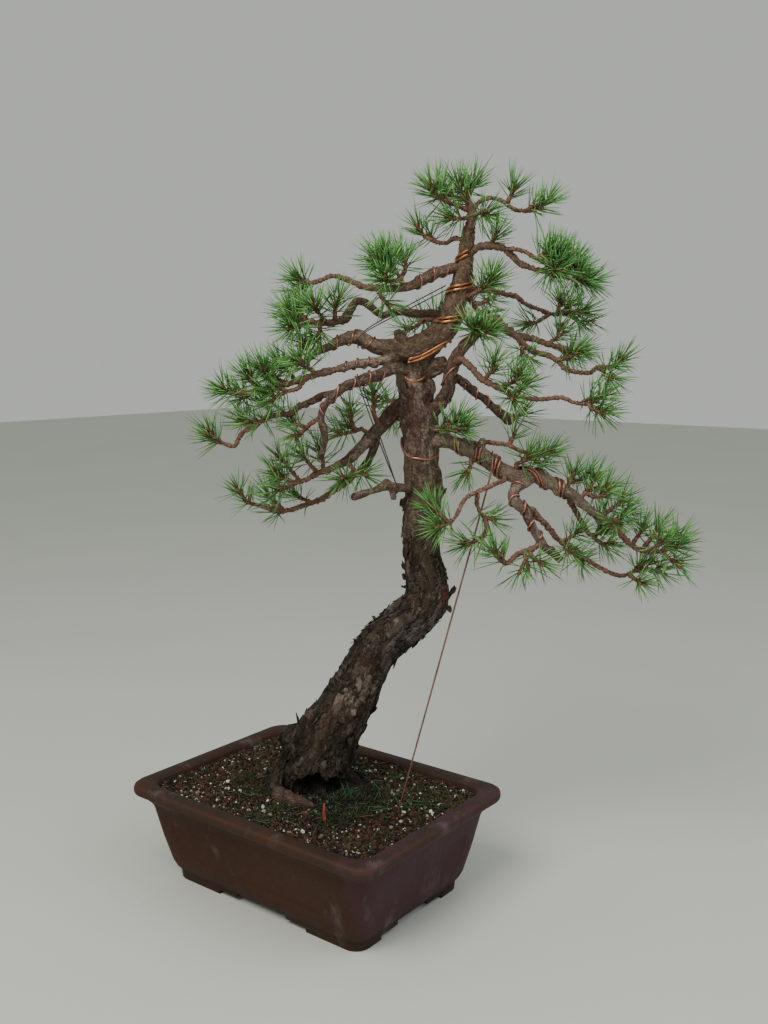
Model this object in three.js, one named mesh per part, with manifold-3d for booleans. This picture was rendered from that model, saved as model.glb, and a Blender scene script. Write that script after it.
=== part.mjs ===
// A Scots pine bonsai, wired for training, in a rectangular unglazed pot.
// Millimetres, +Z up. The pot's long side runs along X and its feet stand on Z = 0.
// The tree is described in its own frame: X to the right and Z up as the tree's front is seen, Y away from
// the viewer, with the origin at the middle of the pot's base. It stands turned in its pot by TREE_TURN.
import * as THREE from "three";
import { mergeVertices } from "three/addons/utils/BufferGeometryUtils.js";
import Module from "manifold-3d";

const wasm = await Module();
wasm.setup();

// Driving dimensions of the pot. Its outside and inside are profiles of [inset from the rim, height].
const POT_LENGTH = 400;
const POT_WIDTH = 296;
const POT_HEIGHT = 132;
const RIM_CORNER_RADIUS = 25;
const FOOT_HEIGHT = 12;
const FOOT_INSET = 44;
const FOOT_RING_WIDTH = 18;
const LONG_SIDE_GAP = 84;
const SHORT_SIDE_GAP = 60;
const GAP_STEP = 32;
const FLOOR_TOP = 26;
const DRAIN_RADIUS = 13;
const DRAIN_SPACING = 150;
const POT_OUTSIDE = [[FOOT_INSET, 0], [43, FOOT_HEIGHT], [35, 26], [27, 60], [19, 100], [15, 108], [5, 117],
  [0, 121], [0, 128], [4, POT_HEIGHT]];
const POT_INSIDE = [[52, FLOOR_TOP], [48, FLOOR_TOP + 8], [28, 112], [24, POT_HEIGHT + 1]];

// Driving dimensions of the soil and the drain screens.
const SOIL_LEVEL = 124;
const SOIL_MOUND = 7;
const SCREEN_SIZE = 44;
const SCREEN_THICKNESS = 1.4;
const SCREEN_WINDOW = 14;

// Driving dimensions of the tree.
const TREE_TURN = 38;
const NEEDLE_LENGTH = 36;
const SHOOT_RADIUS = 1.15;
const SHOOT_LENGTH = 11;
const SHOOT_STEPS = 2;
const NEEDLE_FOOT_RADIUS = 2;
const NEEDLE_TIP_RADIUS = 1.2;
const WIRE_STEPS_PER_TURN = 7;
const SEAT_GAP = 0.3;
const CLEARANCE = 0.6;

// Colours and finishes.
const bark = new THREE.MeshStandardMaterial({ color: 0x5d4a40, roughness: 0.95, metalness: 0 });
const foliage = new THREE.MeshStandardMaterial({ color: 0x3f7a35, roughness: 0.6, metalness: 0 });
const clay = new THREE.MeshStandardMaterial({ color: 0x5e3d35, roughness: 0.75, metalness: 0 });
const earth = new THREE.MeshStandardMaterial({ color: 0x3b2f24, roughness: 1, metalness: 0 });
const copper = new THREE.MeshStandardMaterial({ color: 0xa5613f, roughness: 0.4, metalness: 0.9 });
const darkWire = new THREE.MeshStandardMaterial({ color: 0x3a2f2a, roughness: 0.6, metalness: 0.6 });
const netting = new THREE.MeshStandardMaterial({ color: 0x1d1f1e, roughness: 0.6, metalness: 0 });

// Woody parts. Each stem is a list of [x, y, z, radius] along its middle.

const TRUNK = [
  [-14, 24, 70, 38], [-13, 24, 98, 41], [-9, 22, 130, 44], [0, 17, 160, 47], [14, 13, 194, 41.5],
  [38, 10, 234, 35], [61, 8, 281, 30.5], [82, 5, 318, 29.5], [111, 0, 346, 29], [137, -3, 370, 29],
  [144, -4, 398, 27.5], [137, 0, 434, 24.5], [134, 2, 474, 23], [137, 4, 516, 24], [135, 5, 558, 22.5],
  [132, 6, 597, 23], [127, 6, 634, 21.5], [122, 5, 662, 21], [127, 0, 680, 17],
];

// Limbs and side branches, with the number of sides of each.
const LIMBS = {
  leader: { sides: 9, points: [[123, 5, 654, 17], [130, 0, 684, 18], [146, -5, 701, 16], [163, -8, 716, 15],
    [173, -10, 742, 13.5], [182, -12, 775, 11.5], [186, -14, 808, 9.5], [188, -15, 828, 7.5]] },
  left_1: { sides: 5, points: [[176, -12, 786, 7], [162, -18, 783, 7], [147, -26, 778, 6.5],
    [128, -34, 767, 6], [111, -38, 761, 5.5], [95, -34, 761, 5], [86, -30, 761, 4.5]] },
  left_2: { sides: 8, points: [[144, -4, 698, 15], [124, -10, 691, 15], [108, -14, 689, 13],
    [92, -18, 691, 10], [74, -20, 695, 9], [56, -22, 703, 9], [43, -24, 702, 8], [32, -28, 698, 6.5],
    [21, -32, 692, 5.5], [11, -36, 688, 4.5]] },
  left_3: { sides: 5, points: [[167, -8, 729, 6], [154, 4, 732, 5.5], [140, 12, 733, 5], [126, 18, 733, 5],
    [110, 22, 735, 4.5], [95, 24, 734, 5], [86, 24, 731, 5], [73, 22, 740, 5], [64, 18, 746, 5],
    [54, 12, 747, 5], [48, 4, 738, 5.5], [42, -8, 727, 5.5]] },
  left_4: { sides: 5, points: [[110, -14, 686, 8], [99, -22, 681, 7], [87, -31, 677, 6.5], [73, -36, 675, 6],
    [56, -40, 673, 5.5], [38, -44, 668, 5]] },
  left_5: { sides: 6, points: [[120, -4, 664, 8], [102, -22, 667, 7], [87, -42, 662, 6.5],
    [71, -54, 657, 6.5], [57, -62, 652, 6.5], [46, -66, 649, 6], [38, -68, 643, 5.5], [28, -69, 635, 5],
    [20, -68, 626, 4.5], [14, -66, 610, 4.5], [17, -64, 598, 5], [18, -62, 588, 4], [16, -60, 574, 4],
    [11, -57, 562, 3.5]] },
  left_5_side: { sides: 5, points: [[33, -68, 640, 4.5], [17, -56, 637, 4.5], [5, -45, 630, 4.5],
    [-4, -38, 626, 4]] },
  left_6: { sides: 8, points: [[121, 10, 628, 12], [108, 14, 620, 10], [94, 16, 606, 9.5], [81, 16, 591, 9],
    [67, 14, 577, 8.5], [53, 12, 563, 7.5], [41, 9, 552, 6], [32, 6, 548, 5]] },
  left_6_low: { sides: 5, points: [[80, 16, 588, 6], [73, 22, 560, 5.5], [60, 32, 539, 5],
    [51, 34, 533, 4.5]] },
  neck_right: { sides: 7, points: [[124, 7, 652, 14], [139, 4, 664, 12.5], [153, -4, 669, 11],
    [164, -9, 674, 7.5]] },
  right_4: { sides: 7, points: [[135, 2, 606, 11], [149, -4, 617, 9.5], [159, -9, 629, 9], [166, -12, 643, 9],
    [168, -14, 659, 8], [172, -14, 672, 8], [178, -12, 684, 7.5], [187, -6, 695, 7], [200, 2, 709, 6.5],
    [214, 8, 722, 6], [224, 12, 725, 6], [234, 14, 715, 6], [248, 16, 707, 5]] },
  right_5_low: { sides: 5, points: [[169, -12, 657, 6], [180, -6, 653, 6], [191, -2, 645, 6],
    [199, 2, 637, 5.5], [211, 6, 629, 5], [221, 10, 620, 5], [230, 12, 613, 5.5], [241, 14, 605, 6]] },
  right_6: { sides: 8, points: [[134, 5, 574, 14], [152, -4, 579, 10.5], [166, -10, 579, 9.5],
    [184, -16, 573, 10], [202, -20, 565, 10], [219, -24, 553, 9.5], [235, -27, 542, 9.5], [253, -29, 539, 9],
    [269, -30, 539, 8.5], [286, -32, 531, 8.5], [301, -34, 525, 8], [313, -37, 517, 7.5],
    [325, -40, 508, 6.5], [338, -44, 497, 5]] },
  right_6_fall: { sides: 7, points: [[270, -30, 538, 6.5], [257, -38, 531, 6.5], [246, -44, 524, 6.5],
    [242, -48, 515, 6.5], [249, -52, 506, 7], [258, -54, 500, 7], [260, -56, 491, 6.5], [264, -58, 482, 6],
    [273, -60, 467, 5.5], [279, -60, 457, 5.5], [289, -60, 450, 5.5], [300, -60, 439, 5]] },
  dead_stub: { sides: 7, points: [[130, 2, 520, 6], [112, -18, 522, 5.5], [99, -22, 524, 5.5],
    [91, -24, 525, 6.5], [78, -26, 521, 4.5], [62, -28, 516, 4.5], [50, -29, 512, 4.5]] },
  dead_spur: { sides: 5, points: [[98, -22, 522, 4.5], [100, -24, 508, 4]] },
  root_front: { sides: 7, points: [[-34, 10, 160, 12], [-50, -6, 150, 10], [-52, -22, 138, 9.5],
    [-42, -36, 131, 9], [-24, -45, 129, 8.5], [-4, -51, 125, 6.5], [10, -55, 116, 5]] },
  root_left: { sides: 6, points: [[-24, 22, 146, 20], [-60, 30, 127, 11], [-84, 38, 111, 6]] },
  root_back: { sides: 6, points: [[-8, 34, 142, 20], [-4, 72, 127, 11], [4, 98, 110, 6]] },
  root_right: { sides: 6, points: [[8, 22, 140, 18], [52, 14, 127, 10], [78, 8, 111, 6]] },
  root_back_left: { sides: 6, points: [[-18, 30, 138, 18], [-48, 66, 126, 9], [-62, 86, 110, 6]] },
};

// Leafy branchlets. One with endOf carries on from the end of that limb. Another has a first point in the
// middle of the wood that bears it, a second one where it is seated, and its radius there. Its other stems
// fork from earlier ones. Every stem ends in a shoot with needles.
const BRANCHLETS = {
  apex: { endOf: "leader", stems: [
    [[192, -16, 844], [187, -18, 860], [179, -20, 871], [176, -22, 881]],
    [[184, -19, 865], [190, -10, 876], [197, -4, 884]],
    [[190, -17, 851], [173, -24, 856], [162, -30, 860], [151, -36, 863], [142, -40, 871]],
    [[162, -30, 860], [157, -18, 871], [154, -10, 882]],
    [[190, -17, 843], [178, -26, 841], [166, -32, 840]],
    [[192, -16, 846], [200, -26, 847], [210, -36, 843]],
    [[185, -19, 863], [179, 0, 866], [170, 18, 872]],
    [[191, -16, 849], [200, -17, 861], [210, -18, 865], [224, -20, 863], [240, -24, 852], [252, -25, 850],
      [266, -26, 851], [278, -26, 859]],
    [[232, -22, 859], [236, -24, 867], [240, -28, 874]],
  ] },
  left_high: { radius: 2, stems: [
    [[186, -14, 818], [173, -15, 819], [161, -8, 815], [148, 2, 818], [137, 8, 824], [130, 10, 832]],
  ] },
  right_2: { radius: 5, stems: [
    [[184, -13, 799], [199, -18, 808], [217, -26, 810], [229, -28, 806], [247, -32, 790], [260, -34, 784],
      [275, -36, 780], [294, -38, 774], [312, -40, 770], [328, -43, 767]],
    [[213, -25, 810], [216, -28, 816], [219, -34, 823]],
    [[229, -28, 806], [240, -40, 805], [252, -46, 801], [265, -50, 793], [276, -54, 791], [283, -60, 802]],
    [[272, -52.5, 791.7], [278, -66, 782], [280, -76, 775]],
    [[289, -38, 776], [290, -46, 784], [294, -55, 793]],
    [[296, -38, 774], [305, -26, 782], [313, -18, 792]],
    [[311, -40, 770], [315, -30, 778], [320, -24, 786]],
  ] },
  right_3_front: { radius: 2.5, stems: [
    [[176, -11, 752], [189, -21, 753], [203, -31, 760], [216, -42, 769]],
  ] },
  right_3: { radius: 4, stems: [
    [[178, -8, 756], [193, 6, 760], [218, 20, 761], [237, 30, 757], [252, 36, 754], [263, 40, 746],
      [283, 44, 738], [299, 48, 733], [319, 50, 733], [342, 54, 736]],
    [[304, 48, 733], [306, 40, 740], [309, 33, 748]],
    [[296, 47, 733], [280, 38, 724], [266, 32, 718]],
    [[319, 50, 733], [331, 62, 727], [342, 70, 721]],
    [[309, 49, 733], [319, 64, 741], [328, 74, 748]],
  ] },
  right_4_front: { radius: 3, stems: [
    [[189, -5, 697], [191, -16, 703], [194, -28, 709], [197, -42, 715]],
    [[192, -20, 705], [201, -36, 708], [210, -48, 709]],
  ] },
  right_4: { endOf: "right_4", stems: [
    [[269, 20, 703], [287, 24, 697], [307, 32, 692], [323, 38, 689], [338, 43, 685]],
    [[291, 25, 696], [302, 32, 703], [312, 38, 710]],
    [[307, 32, 692], [315, 46, 685], [323, 57, 677]],
  ] },
  right_4_low: { radius: 4.2, stems: [
    [[232, 14, 717], [243, 5, 710], [254, -1, 699], [263, -4, 691], [272, -6, 686], [286, -12, 682],
      [296, -16, 677], [305, -20, 667], [318, -22, 663], [335, -24, 662], [344, -26, 669], [357, -28, 668],
      [369, -30, 676]],
    [[344, -26, 669], [349, -38, 662], [355, -48, 656]],
    [[258, -3, 695], [254, -14, 688], [254, -24, 680]],
    [[296, -16, 677], [305, -26, 679], [314, -35, 684]],
  ] },
  right_5: { radius: 4.2, stems: [
    [[171, -14, 672], [179, -25, 677], [191, -36, 669], [201, -42, 657], [213, -46, 650], [226, -50, 644],
      [241, -54, 637], [256, -56, 633], [272, -58, 632], [296, -61, 634], [311, -62, 628], [326, -62, 627],
      [343, -64, 635]],
    [[206, -44, 654], [211, -50, 661], [218, -57, 668]],
    [[224, -50, 645], [234, -60, 650], [243, -70, 656]],
    [[231, -52, 641], [236, -64, 635], [240, -76, 630]],
    [[243, -54, 637], [250, -46, 644], [258, -38, 650]],
    [[326, -62, 627], [333, -71, 620], [340, -80, 616]],
  ] },
  right_5_low: { radius: 3, stems: [
    [[238, 13, 607], [245, 15, 604], [253, 18, 606], [262, 21, 610]],
  ] },
  trunk_right: { radius: 2.5, stems: [
    [[134, 4, 594], [154, -18, 594], [165, -28, 598], [174, -36, 606]],
    [[161, -24, 597], [172, -38, 594], [182, -50, 597]],
  ] },
  right_6_upper: { radius: 2, stems: [
    [[204, -20, 565], [210, -21, 576], [223, -22, 577], [238, -24, 575], [256, -26, 567], [272, -28, 563],
      [290, -29, 567]],
    [[238, -24, 575], [243, -20, 581], [247, -17, 589]],
    [[262, -27, 566], [271, -16, 556], [281, -8, 549]],
  ] },
  right_6_top: { radius: 2, stems: [
    [[246, -28, 540], [248, -34, 552], [255, -42, 557], [262, -49, 562]],
  ] },
  right_6_shoulder: { radius: 2, stems: [
    [[307, -35, 521], [312, -31, 530], [318, -22, 541]],
    [[313, -30, 532], [325, -18, 530], [336, -8, 533]],
  ] },
  right_6_under: { radius: 1.8, stems: [
    [[195, -18, 567], [194, -22, 555], [192, -26, 547], [189, -30, 540]],
  ] },
  right_6_front: { radius: 2.8, stems: [
    [[235, -27, 542], [232, -38, 535], [222, -45, 531], [212, -50, 527], [200, -56, 523], [185, -64, 516],
      [179, -68, 508], [173, -72, 496], [163, -76, 487], [150, -82, 485]],
    [[200, -56, 523], [199, -53, 506], [208, -51, 492], [217, -50, 488]],
    [[208, -51, 492], [211, -53, 475], [201, -56, 465], [184, -60, 458]],
    [[164, -75, 488], [154, -68, 498], [145, -62, 508]],
  ] },
  right_6_fall: { radius: 4, stems: [
    [[276, -60, 462], [267, -65, 457], [254, -72, 453], [242, -78, 449], [233, -82, 441], [225, -84, 445],
      [217, -86, 456]],
    [[254, -72, 453], [256, -76, 444], [258, -80, 435]],
    [[259, -70, 453], [266, -80, 446], [274, -89, 441]],
  ] },
  right_6_fork: { radius: 4, stems: [
    [[257, -54, 501], [266, -47, 498], [273, -44, 490], [284, -40, 480], [302, -36, 459], [320, -34, 448],
      [341, -32, 432], [358, -30, 422], [381, -26, 414], [396, -23, 419], [413, -18, 426]],
    [[304, -36, 458], [313, -42, 465], [322, -48, 473]],
    [[306, -36, 457], [308, -50, 452], [314, -62, 449]],
    [[317, -34, 449], [325, -26, 438], [333, -18, 427]],
    [[396, -23, 419], [418, -14, 419], [437, -8, 413]],
    [[389, -25, 416], [395, -39, 412], [403, -50, 409]],
  ] },
  right_6_drop: { radius: 4, stems: [
    [[309, -36, 519], [314, -31, 508], [323, -24, 492], [333, -18, 476], [342, -14, 464], [355, -6, 463],
      [368, 0, 466]],
    [[342, -14, 464], [351, -25, 457], [360, -34, 451]],
    [[352, -8, 463], [358, 4, 472], [364, 12, 483]],
  ] },
  right_6_mid: { radius: 2.5, stems: [
    [[324, -40, 509], [329, -40, 518], [336, -38, 526], [342, -36, 535]],
    [[330, -40, 519], [339, -54, 516], [348, -66, 519]],
    [[333, -39, 522], [347, -28, 522], [361, -18, 520]],
  ] },
  right_6_tip: { endOf: "right_6", stems: [
    [[355, -48, 486], [369, -50, 474], [380, -50, 462], [393, -48, 452], [409, -46, 448], [427, -44, 449],
      [449, -42, 458]],
    [[348, -47, 491], [361, -41, 499], [375, -35, 506]],
    [[357, -48, 484], [372, -34, 487], [388, -22, 491]],
    [[355, -48, 486], [359, -62, 487], [366, -77, 488]],
    [[387, -49, 457], [396, -38, 466], [407, -26, 474]],
    [[399, -47, 450], [408, -50, 464], [416, -53, 479]],
    [[407, -46, 448], [412, -60, 456], [419, -72, 465]],
    [[424, -44, 448], [438, -28, 454], [452, -16, 461]],
    [[422, -45, 449], [431, -51, 441], [440, -58, 433]],
  ] },
  left_1_front: { radius: 3, stems: [
    [[111, -38, 761], [108, -43, 769], [101, -50, 780], [89, -57, 798]],
    [[107, -44, 771], [113, -34, 783], [113, -25, 797]],
    [[102, -49, 778], [90, -60, 781], [78, -68, 787]],
    [[107, -44, 770], [97, -62, 767], [86, -78, 768]],
  ] },
  left_1: { endOf: "left_1", stems: [
    [[72, -25, 762], [60, -20, 764], [48, -16, 770], [36, -12, 775], [25, -10, 776], [9, -8, 770],
      [-4, -6, 768], [-18, -5, 773]],
    [[79, -27, 761], [85, -34, 751], [92, -39, 742]],
    [[-1, -6, 768], [-12, 8, 763], [-23, 18, 759]],
  ] },
  left_3: { endOf: "left_3", stems: [
    [[30, -15, 722], [19, -20, 721], [5, -24, 721], [-6, -26, 722], [-15, -28, 726], [-27, -30, 731]],
    [[-5, -26, 722], [-11, -16, 733], [-16, -8, 743]],
    [[-2, -26, 722], [-12, -42, 717], [-22, -56, 713]],
    [[29, -16, 722], [30, -27, 731], [30, -38, 742]],
    [[19, -20, 721], [12, -34, 731], [5, -45, 740]],
    [[12, -22, 721], [12, -31, 711], [10, -38, 701]],
    [[7, -23, 721], [-5, -6, 725], [-15, 10, 727]],
  ] },
  left_2: { endOf: "left_2", stems: [
    [[3, -38, 681], [-4, -41, 675], [-15, -44, 673]],
    [[3, -38, 681], [-1, -50, 689], [-7, -60, 697]],
  ] },
  left_4: { endOf: "left_4", stems: [
    [[10, -46, 661], [-5, -46, 656], [-23, -44, 650], [-45, -42, 646], [-65, -40, 641], [-86, -38, 638],
      [-105, -38, 641]],
    [[-58, -41, 643], [-66, -49, 650], [-74, -57, 660]],
    [[-66, -40, 641], [-75, -26, 635], [-86, -12, 630]],
    [[-16, -45, 653], [-25, -38, 663], [-36, -30, 672]],
    [[-23, -44, 650], [-37, -27, 653], [-50, -12, 658]],
    [[10, -46, 661], [1, -60, 667], [-10, -74, 673]],
    [[-5, -46, 656], [-14, -48, 644], [-28, -50, 640], [-44, -53, 629]],
    [[-40, -43, 647], [-48, -53, 658], [-55, -62, 669]],
  ] },
  left_5: { radius: 2.5, stems: [
    [[14, -66, 610], [6, -60, 606], [-4, -50, 598], [-15, -45, 586]],
    [[-4, -50, 598], [-14, -38, 601], [-24, -28, 602]],
  ] },
  left_5_side: { endOf: "left_5_side", stems: [
    [[-14, -34, 622], [-23, -32, 614], [-38, -28, 612], [-54, -24, 608], [-69, -20, 597], [-84, -18, 589],
      [-95, -16, 573], [-106, -16, 576], [-118, -16, 579], [-128, -16, 586]],
    [[-47, -26, 610], [-51, -17, 619], [-59, -11, 627]],
    [[-52, -25, 609], [-56, -36, 605], [-63, -46, 604]],
    [[-74, -19, 594], [-80, -8, 599], [-89, 1, 604]],
  ] },
  left_6_upper: { radius: 2.6, stems: [
    [[72, 15, 583], [61, 8, 591], [53, 4, 590], [44, -2, 588], [31, -8, 586]],
    [[53, 4, 590], [49, -6, 600], [46, -15, 613]],
  ] },
  left_6_inner: { radius: 2, stems: [
    [[84, 16, 594], [79, 6, 604], [75, -3, 617], [75, -9, 638]],
  ] },
  left_6: { endOf: "left_6", stems: [
    [[18, 3, 541], [6, 0, 538], [-7, -4, 531], [-19, -6, 528], [-33, -9, 531], [-46, -11, 537]],
    [[-18, -6, 528], [-30, -20, 523], [-43, -32, 519]],
    [[-16, -5, 529], [-26, 6, 539], [-36, 15, 550]],
    [[6, 0, 538], [-3, -8, 550], [-12, -15, 562]],
    [[12, 1, 540], [12, 12, 550], [9, 21, 562]],
  ] },
  left_6_right: { radius: 2.2, stems: [
    [[42, 9, 552], [48, 0, 545], [56, -8, 540], [66, -13, 538]],
    [[52, -4, 542], [43, -16, 536], [35, -27, 532]],
  ] },
  left_6_low: { endOf: "left_6_low", stems: [
    [[40, 38, 522], [23, 42, 510], [8, 46, 499], [-5, 48, 494], [-22, 50, 488], [-41, 52, 483],
      [-57, 54, 486], [-73, 56, 489], [-88, 56, 494], [-99, 56, 507]],
    [[-5, 48, 494], [-14, 38, 500], [-25, 29, 506]],
    [[-41, 52, 483], [-49, 44, 494], [-60, 37, 504]],
    [[-36, 52, 484], [-47, 66, 479], [-59, 78, 478]],
  ] },
  back_low: { radius: 5, stems: [
    [[124, 8, 652], [122, 29, 649], [118, 52, 641], [111, 80, 624], [104, 105, 610], [100, 126, 594]],
    [[111, 80, 624], [99, 101, 621], [87, 117, 620]],
    [[106, 98, 615], [115, 118, 606], [122, 134, 595]],
  ] },
  back_top: { radius: 5, stems: [
    [[169, -9, 732], [168, 7, 734], [159, 30, 730], [146, 54, 726], [142, 80, 729], [140, 106, 724]],
    [[144, 65, 727], [153, 84, 733], [160, 100, 739]],
    [[142, 78, 729], [129, 93, 719], [118, 106, 713]],
  ] },
  back_right: { radius: 4, stems: [
    [[180, -11, 768], [182, 4, 767], [189, 28, 757], [199, 54, 746], [209, 82, 738], [220, 108, 732]],
    [[202, 62, 743], [216, 77, 749], [228, 90, 754]],
    [[206, 74, 740], [202, 92, 750], [199, 107, 762]],
  ] },
};

// Training wires. Each winds along a stem: windings holds pairs of a share of the stem's length and the turns
// made by then, counted from the tree's front. fit is the share of the stem's radius that the wire clears.
const COILS = {
  wire_neck: { radius: 1.7, on: "trunk", fit: 0.95,
    windings: [[0.968, -0.06], [0.957, 0.02], [0.962, 0.1], [0.978, 0.17]] },
  wire_leader_1: { radius: 1.7, on: "leader",
    before: [[116, -18, 673.8], [120.5, -19.5, 675.3], [131, -20.5, 678], [143, -20, 684]],
    windings: [[0.325, 1.14], [0.335, 1.6], [0.45, 2], [0.65, 3], [0.86, 4.03]] },
  wire_leader_2: { radius: 1.7, on: "leader",
    before: [[117, -22, 677.2], [121, -23.4, 679.2], [132, -21.5, 682], [144, -21.5, 688.3]],
    windings: [[0.362, 1.14], [0.372, 1.6], [0.475, 2], [0.675, 3], [0.885, 4.03]] },
  wire_trunk: { radius: 1.5, on: "trunk", windings: [[0.85, -0.3], [0.815, -0.12], [0.808, 0.05],
    [0.815, 0.15]] },
  wire_right_6_1: { radius: 1.5, on: "right_6", windings: [[0.19, -0.1], [0.475, 2.35], [0.6, 2.8],
    [0.69, 3.1], [0.86, 4.6]] },
  wire_right_6_2: { radius: 1.5, on: "right_6", windings: [[0.21, -0.1], [0.495, 2.35], [0.62, 2.8],
    [0.71, 3.1], [0.85, 4.3]] },
  wire_left_2: { radius: 1.1, on: "left_2", windings: [[0.5, -0.65], [0.62, -1.7], [0.67, -1.8],
    [0.92, -3.6]] },
  wire_left_4: { radius: 1.1, on: "left_4", windings: [[0.45, 0], [0.95, -3]] },
  wire_left_5: { radius: 1.1, on: "left_5", windings: [[0.27, 0], [0.54, -2.85], [0.63, -3.3],
    [0.72, -4.1]] },
  wire_left_1: { radius: 1.1, on: "left_1", windings: [[0.17, 0], [0.62, -2.5]] },
  wire_right_4: { radius: 1.1, on: "right_4", windings: [[0.17, 0], [0.235, 0.5], [0.29, 0.8], [0.39, 1],
    [0.57, 1.75], [0.65, 2], [0.88, 4]] },
  wire_right_5_low: { radius: 1.1, on: "right_5_low", windings: [[0.22, 0], [0.85, 3]] },
  wire_right_6_fall: { radius: 1.3, on: "right_6_fall", windings: [[0.16, 0], [0.72, 4]] },
};

// Guy wires, each a route of [x, y, z].
const GUYS = {
  guy_right: { radius: 1.1, sides: 4, points: [[220, -17, 567.2], [219, -27.5, 566.2], [219, -35, 560],
    [218, -38, 552], [216, -39, 541], [152, -57, 300], [104, -70, 122], [98, -71.5, 100]] },
  guy_left: { radius: 0.7, sides: 3, points: [[57, -57, 661], [57, -66, 660], [58, -71, 653], [62, -69, 640],
    [92, -44, 556], [104, -28, 524], [104, -26, 518], [104, -20.5, 515.8], [104, -15, 518], [103, -13.5, 524],
    [98, -18, 541], [70, -43, 625], [63, -48, 645]] },
  guy_top: { radius: 0.7, sides: 3, points: [[163, -24, 760], [120, -30, 738], [66, -33, 710],
    [57, -33.5, 702], [57, -30, 694.5], [57, -22, 691], [57, -14, 694.5], [57, -10.5, 702], [64, -12, 711],
    [118, -17, 742], [162, -14, 765]] },
};

function solidOf(geometry) {
  const plain = geometry.clone();
  plain.deleteAttribute("normal");
  plain.deleteAttribute("uv");
  const merged = mergeVertices(plain, 1e-4);
  return new wasm.Manifold(
    new wasm.Mesh({
      numProp: 3,
      vertProperties: merged.attributes.position.array,
      triVerts: new Uint32Array(merged.index.array),
    }),
  );
}

function geometryOf(solid) {
  const mesh = solid.getMesh();
  const positions = new Float32Array(mesh.numVert * 3);
  for (let i = 0; i < mesh.numVert; i++)
    for (let k = 0; k < 3; k++) positions[3 * i + k] = mesh.vertProperties[i * mesh.numProp + k];
  const geometry = new THREE.BufferGeometry();
  geometry.setAttribute("position", new THREE.BufferAttribute(positions, 3));
  geometry.setIndex(new THREE.BufferAttribute(new Uint32Array(mesh.triVerts), 1));
  geometry.computeVertexNormals();
  return geometry;
}

function joined(solids) {
  return solids.reduce((all, solid) => all.add(solid));
}

// A random number generator with a fixed seed, so that every build is the same.
let seed = 20422;
function random() {
  seed = (seed + 0x6d2b79f5) | 0;
  let t = Math.imul(seed ^ (seed >>> 15), 1 | seed);
  t = (t + Math.imul(t ^ (t >>> 7), 61 | t)) ^ t;
  return ((t ^ (t >>> 14)) >>> 0) / 4294967296;
}

// How finely the turning of a stem's frame along its curve is worked out.
const FRAME_STEPS = 400;

function curveThrough(points) {
  return new THREE.CatmullRomCurve3(points.map((p) => new THREE.Vector3(p[0], p[1], p[2])));
}

function radiusAt(curve, points, u) {
  const t = curve.getUtoTmapping(u, 0) * (points.length - 1);
  const i = Math.min(Math.floor(t), points.length - 2);
  return THREE.MathUtils.lerp(points[i][3], points[i + 1][3], t - i);
}

// The geometry of a round stem along a smooth curve: a cylinder bent to the curve, with its radius taken from
// the points and a ring at each of the given shares of its length. lumps is the share of the radius by which
// its surface swells.
function stemGeometry(points, sides, rings, lumps = 0) {
  const steps = rings.length - 1;
  const curve = curveThrough(points);
  const frames = curve.computeFrenetFrames(FRAME_STEPS);
  const geometry = new THREE.CylinderGeometry(1, 1, 1, sides, steps);
  const position = geometry.attributes.position;
  const place = new THREE.Vector3();
  for (let i = 0; i < position.count; i++) {
    const u = rings[Math.round((position.getY(i) + 0.5) * steps)];
    const k = Math.round(u * FRAME_STEPS);
    const angle = Math.atan2(position.getZ(i), position.getX(i));
    const reach = Math.hypot(position.getX(i), position.getZ(i));
    const swell = 1 + lumps * Math.sin(3 * angle + 9 * u) * Math.cos(5 * angle - 31 * u);
    const radius = reach * swell * radiusAt(curve, points, u);
    curve.getPointAt(u, place);
    place.addScaledVector(frames.normals[k], radius * Math.cos(angle));
    place.addScaledVector(frames.binormals[k], -radius * Math.sin(angle));
    position.setXYZ(i, place.x, place.y, place.z);
  }
  return geometry;
}

// The shares of a stem's length at which its points lie.
function atPoints(points) {
  const between = 12;
  const lengths = curveThrough(points).getLengths(between * (points.length - 1));
  return points.map((_, i) => lengths[between * i] / lengths.at(-1));
}

function evenly(steps) {
  return Array.from({ length: steps + 1 }, (_, i) => i / steps);
}

function stem(points, sides, rings, lumps) {
  return solidOf(stemGeometry(points, sides, rings, lumps));
}

// What is where: thick line segments of all that has been placed, so that wires and needles keep clear of it.

const placed = [];

function record(node, points, piecesPerSpan = 3) {
  const curve = curveThrough(points);
  const pieces = piecesPerSpan * (points.length - 1);
  for (let i = 0; i < pieces; i++) {
    const a = curve.getPointAt(i / pieces);
    const b = curve.getPointAt((i + 1) / pieces);
    const radius = Math.max(radiusAt(curve, points, i / pieces), radiusAt(curve, points, (i + 1) / pieces));
    placed.push({ node, a, b, radius });
  }
}

function gapBetween(a, b, c, d) {
  const ab = b.clone().sub(a);
  const cd = d.clone().sub(c);
  const ac = a.clone().sub(c);
  const aa = ab.dot(ab);
  const cc = cd.dot(cd);
  const f = cd.dot(ac);
  const e = ab.dot(ac);
  const g = ab.dot(cd);
  const denominator = aa * cc - g * g;
  let s = denominator > 1e-9 ? THREE.MathUtils.clamp((g * f - e * cc) / denominator, 0, 1) : 0;
  const t = THREE.MathUtils.clamp((g * s + f) / cc, 0, 1);
  s = THREE.MathUtils.clamp((g * t - e) / aa, 0, 1);
  return a.clone().addScaledVector(ab, s).distanceTo(c.clone().addScaledVector(cd, t));
}

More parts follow.
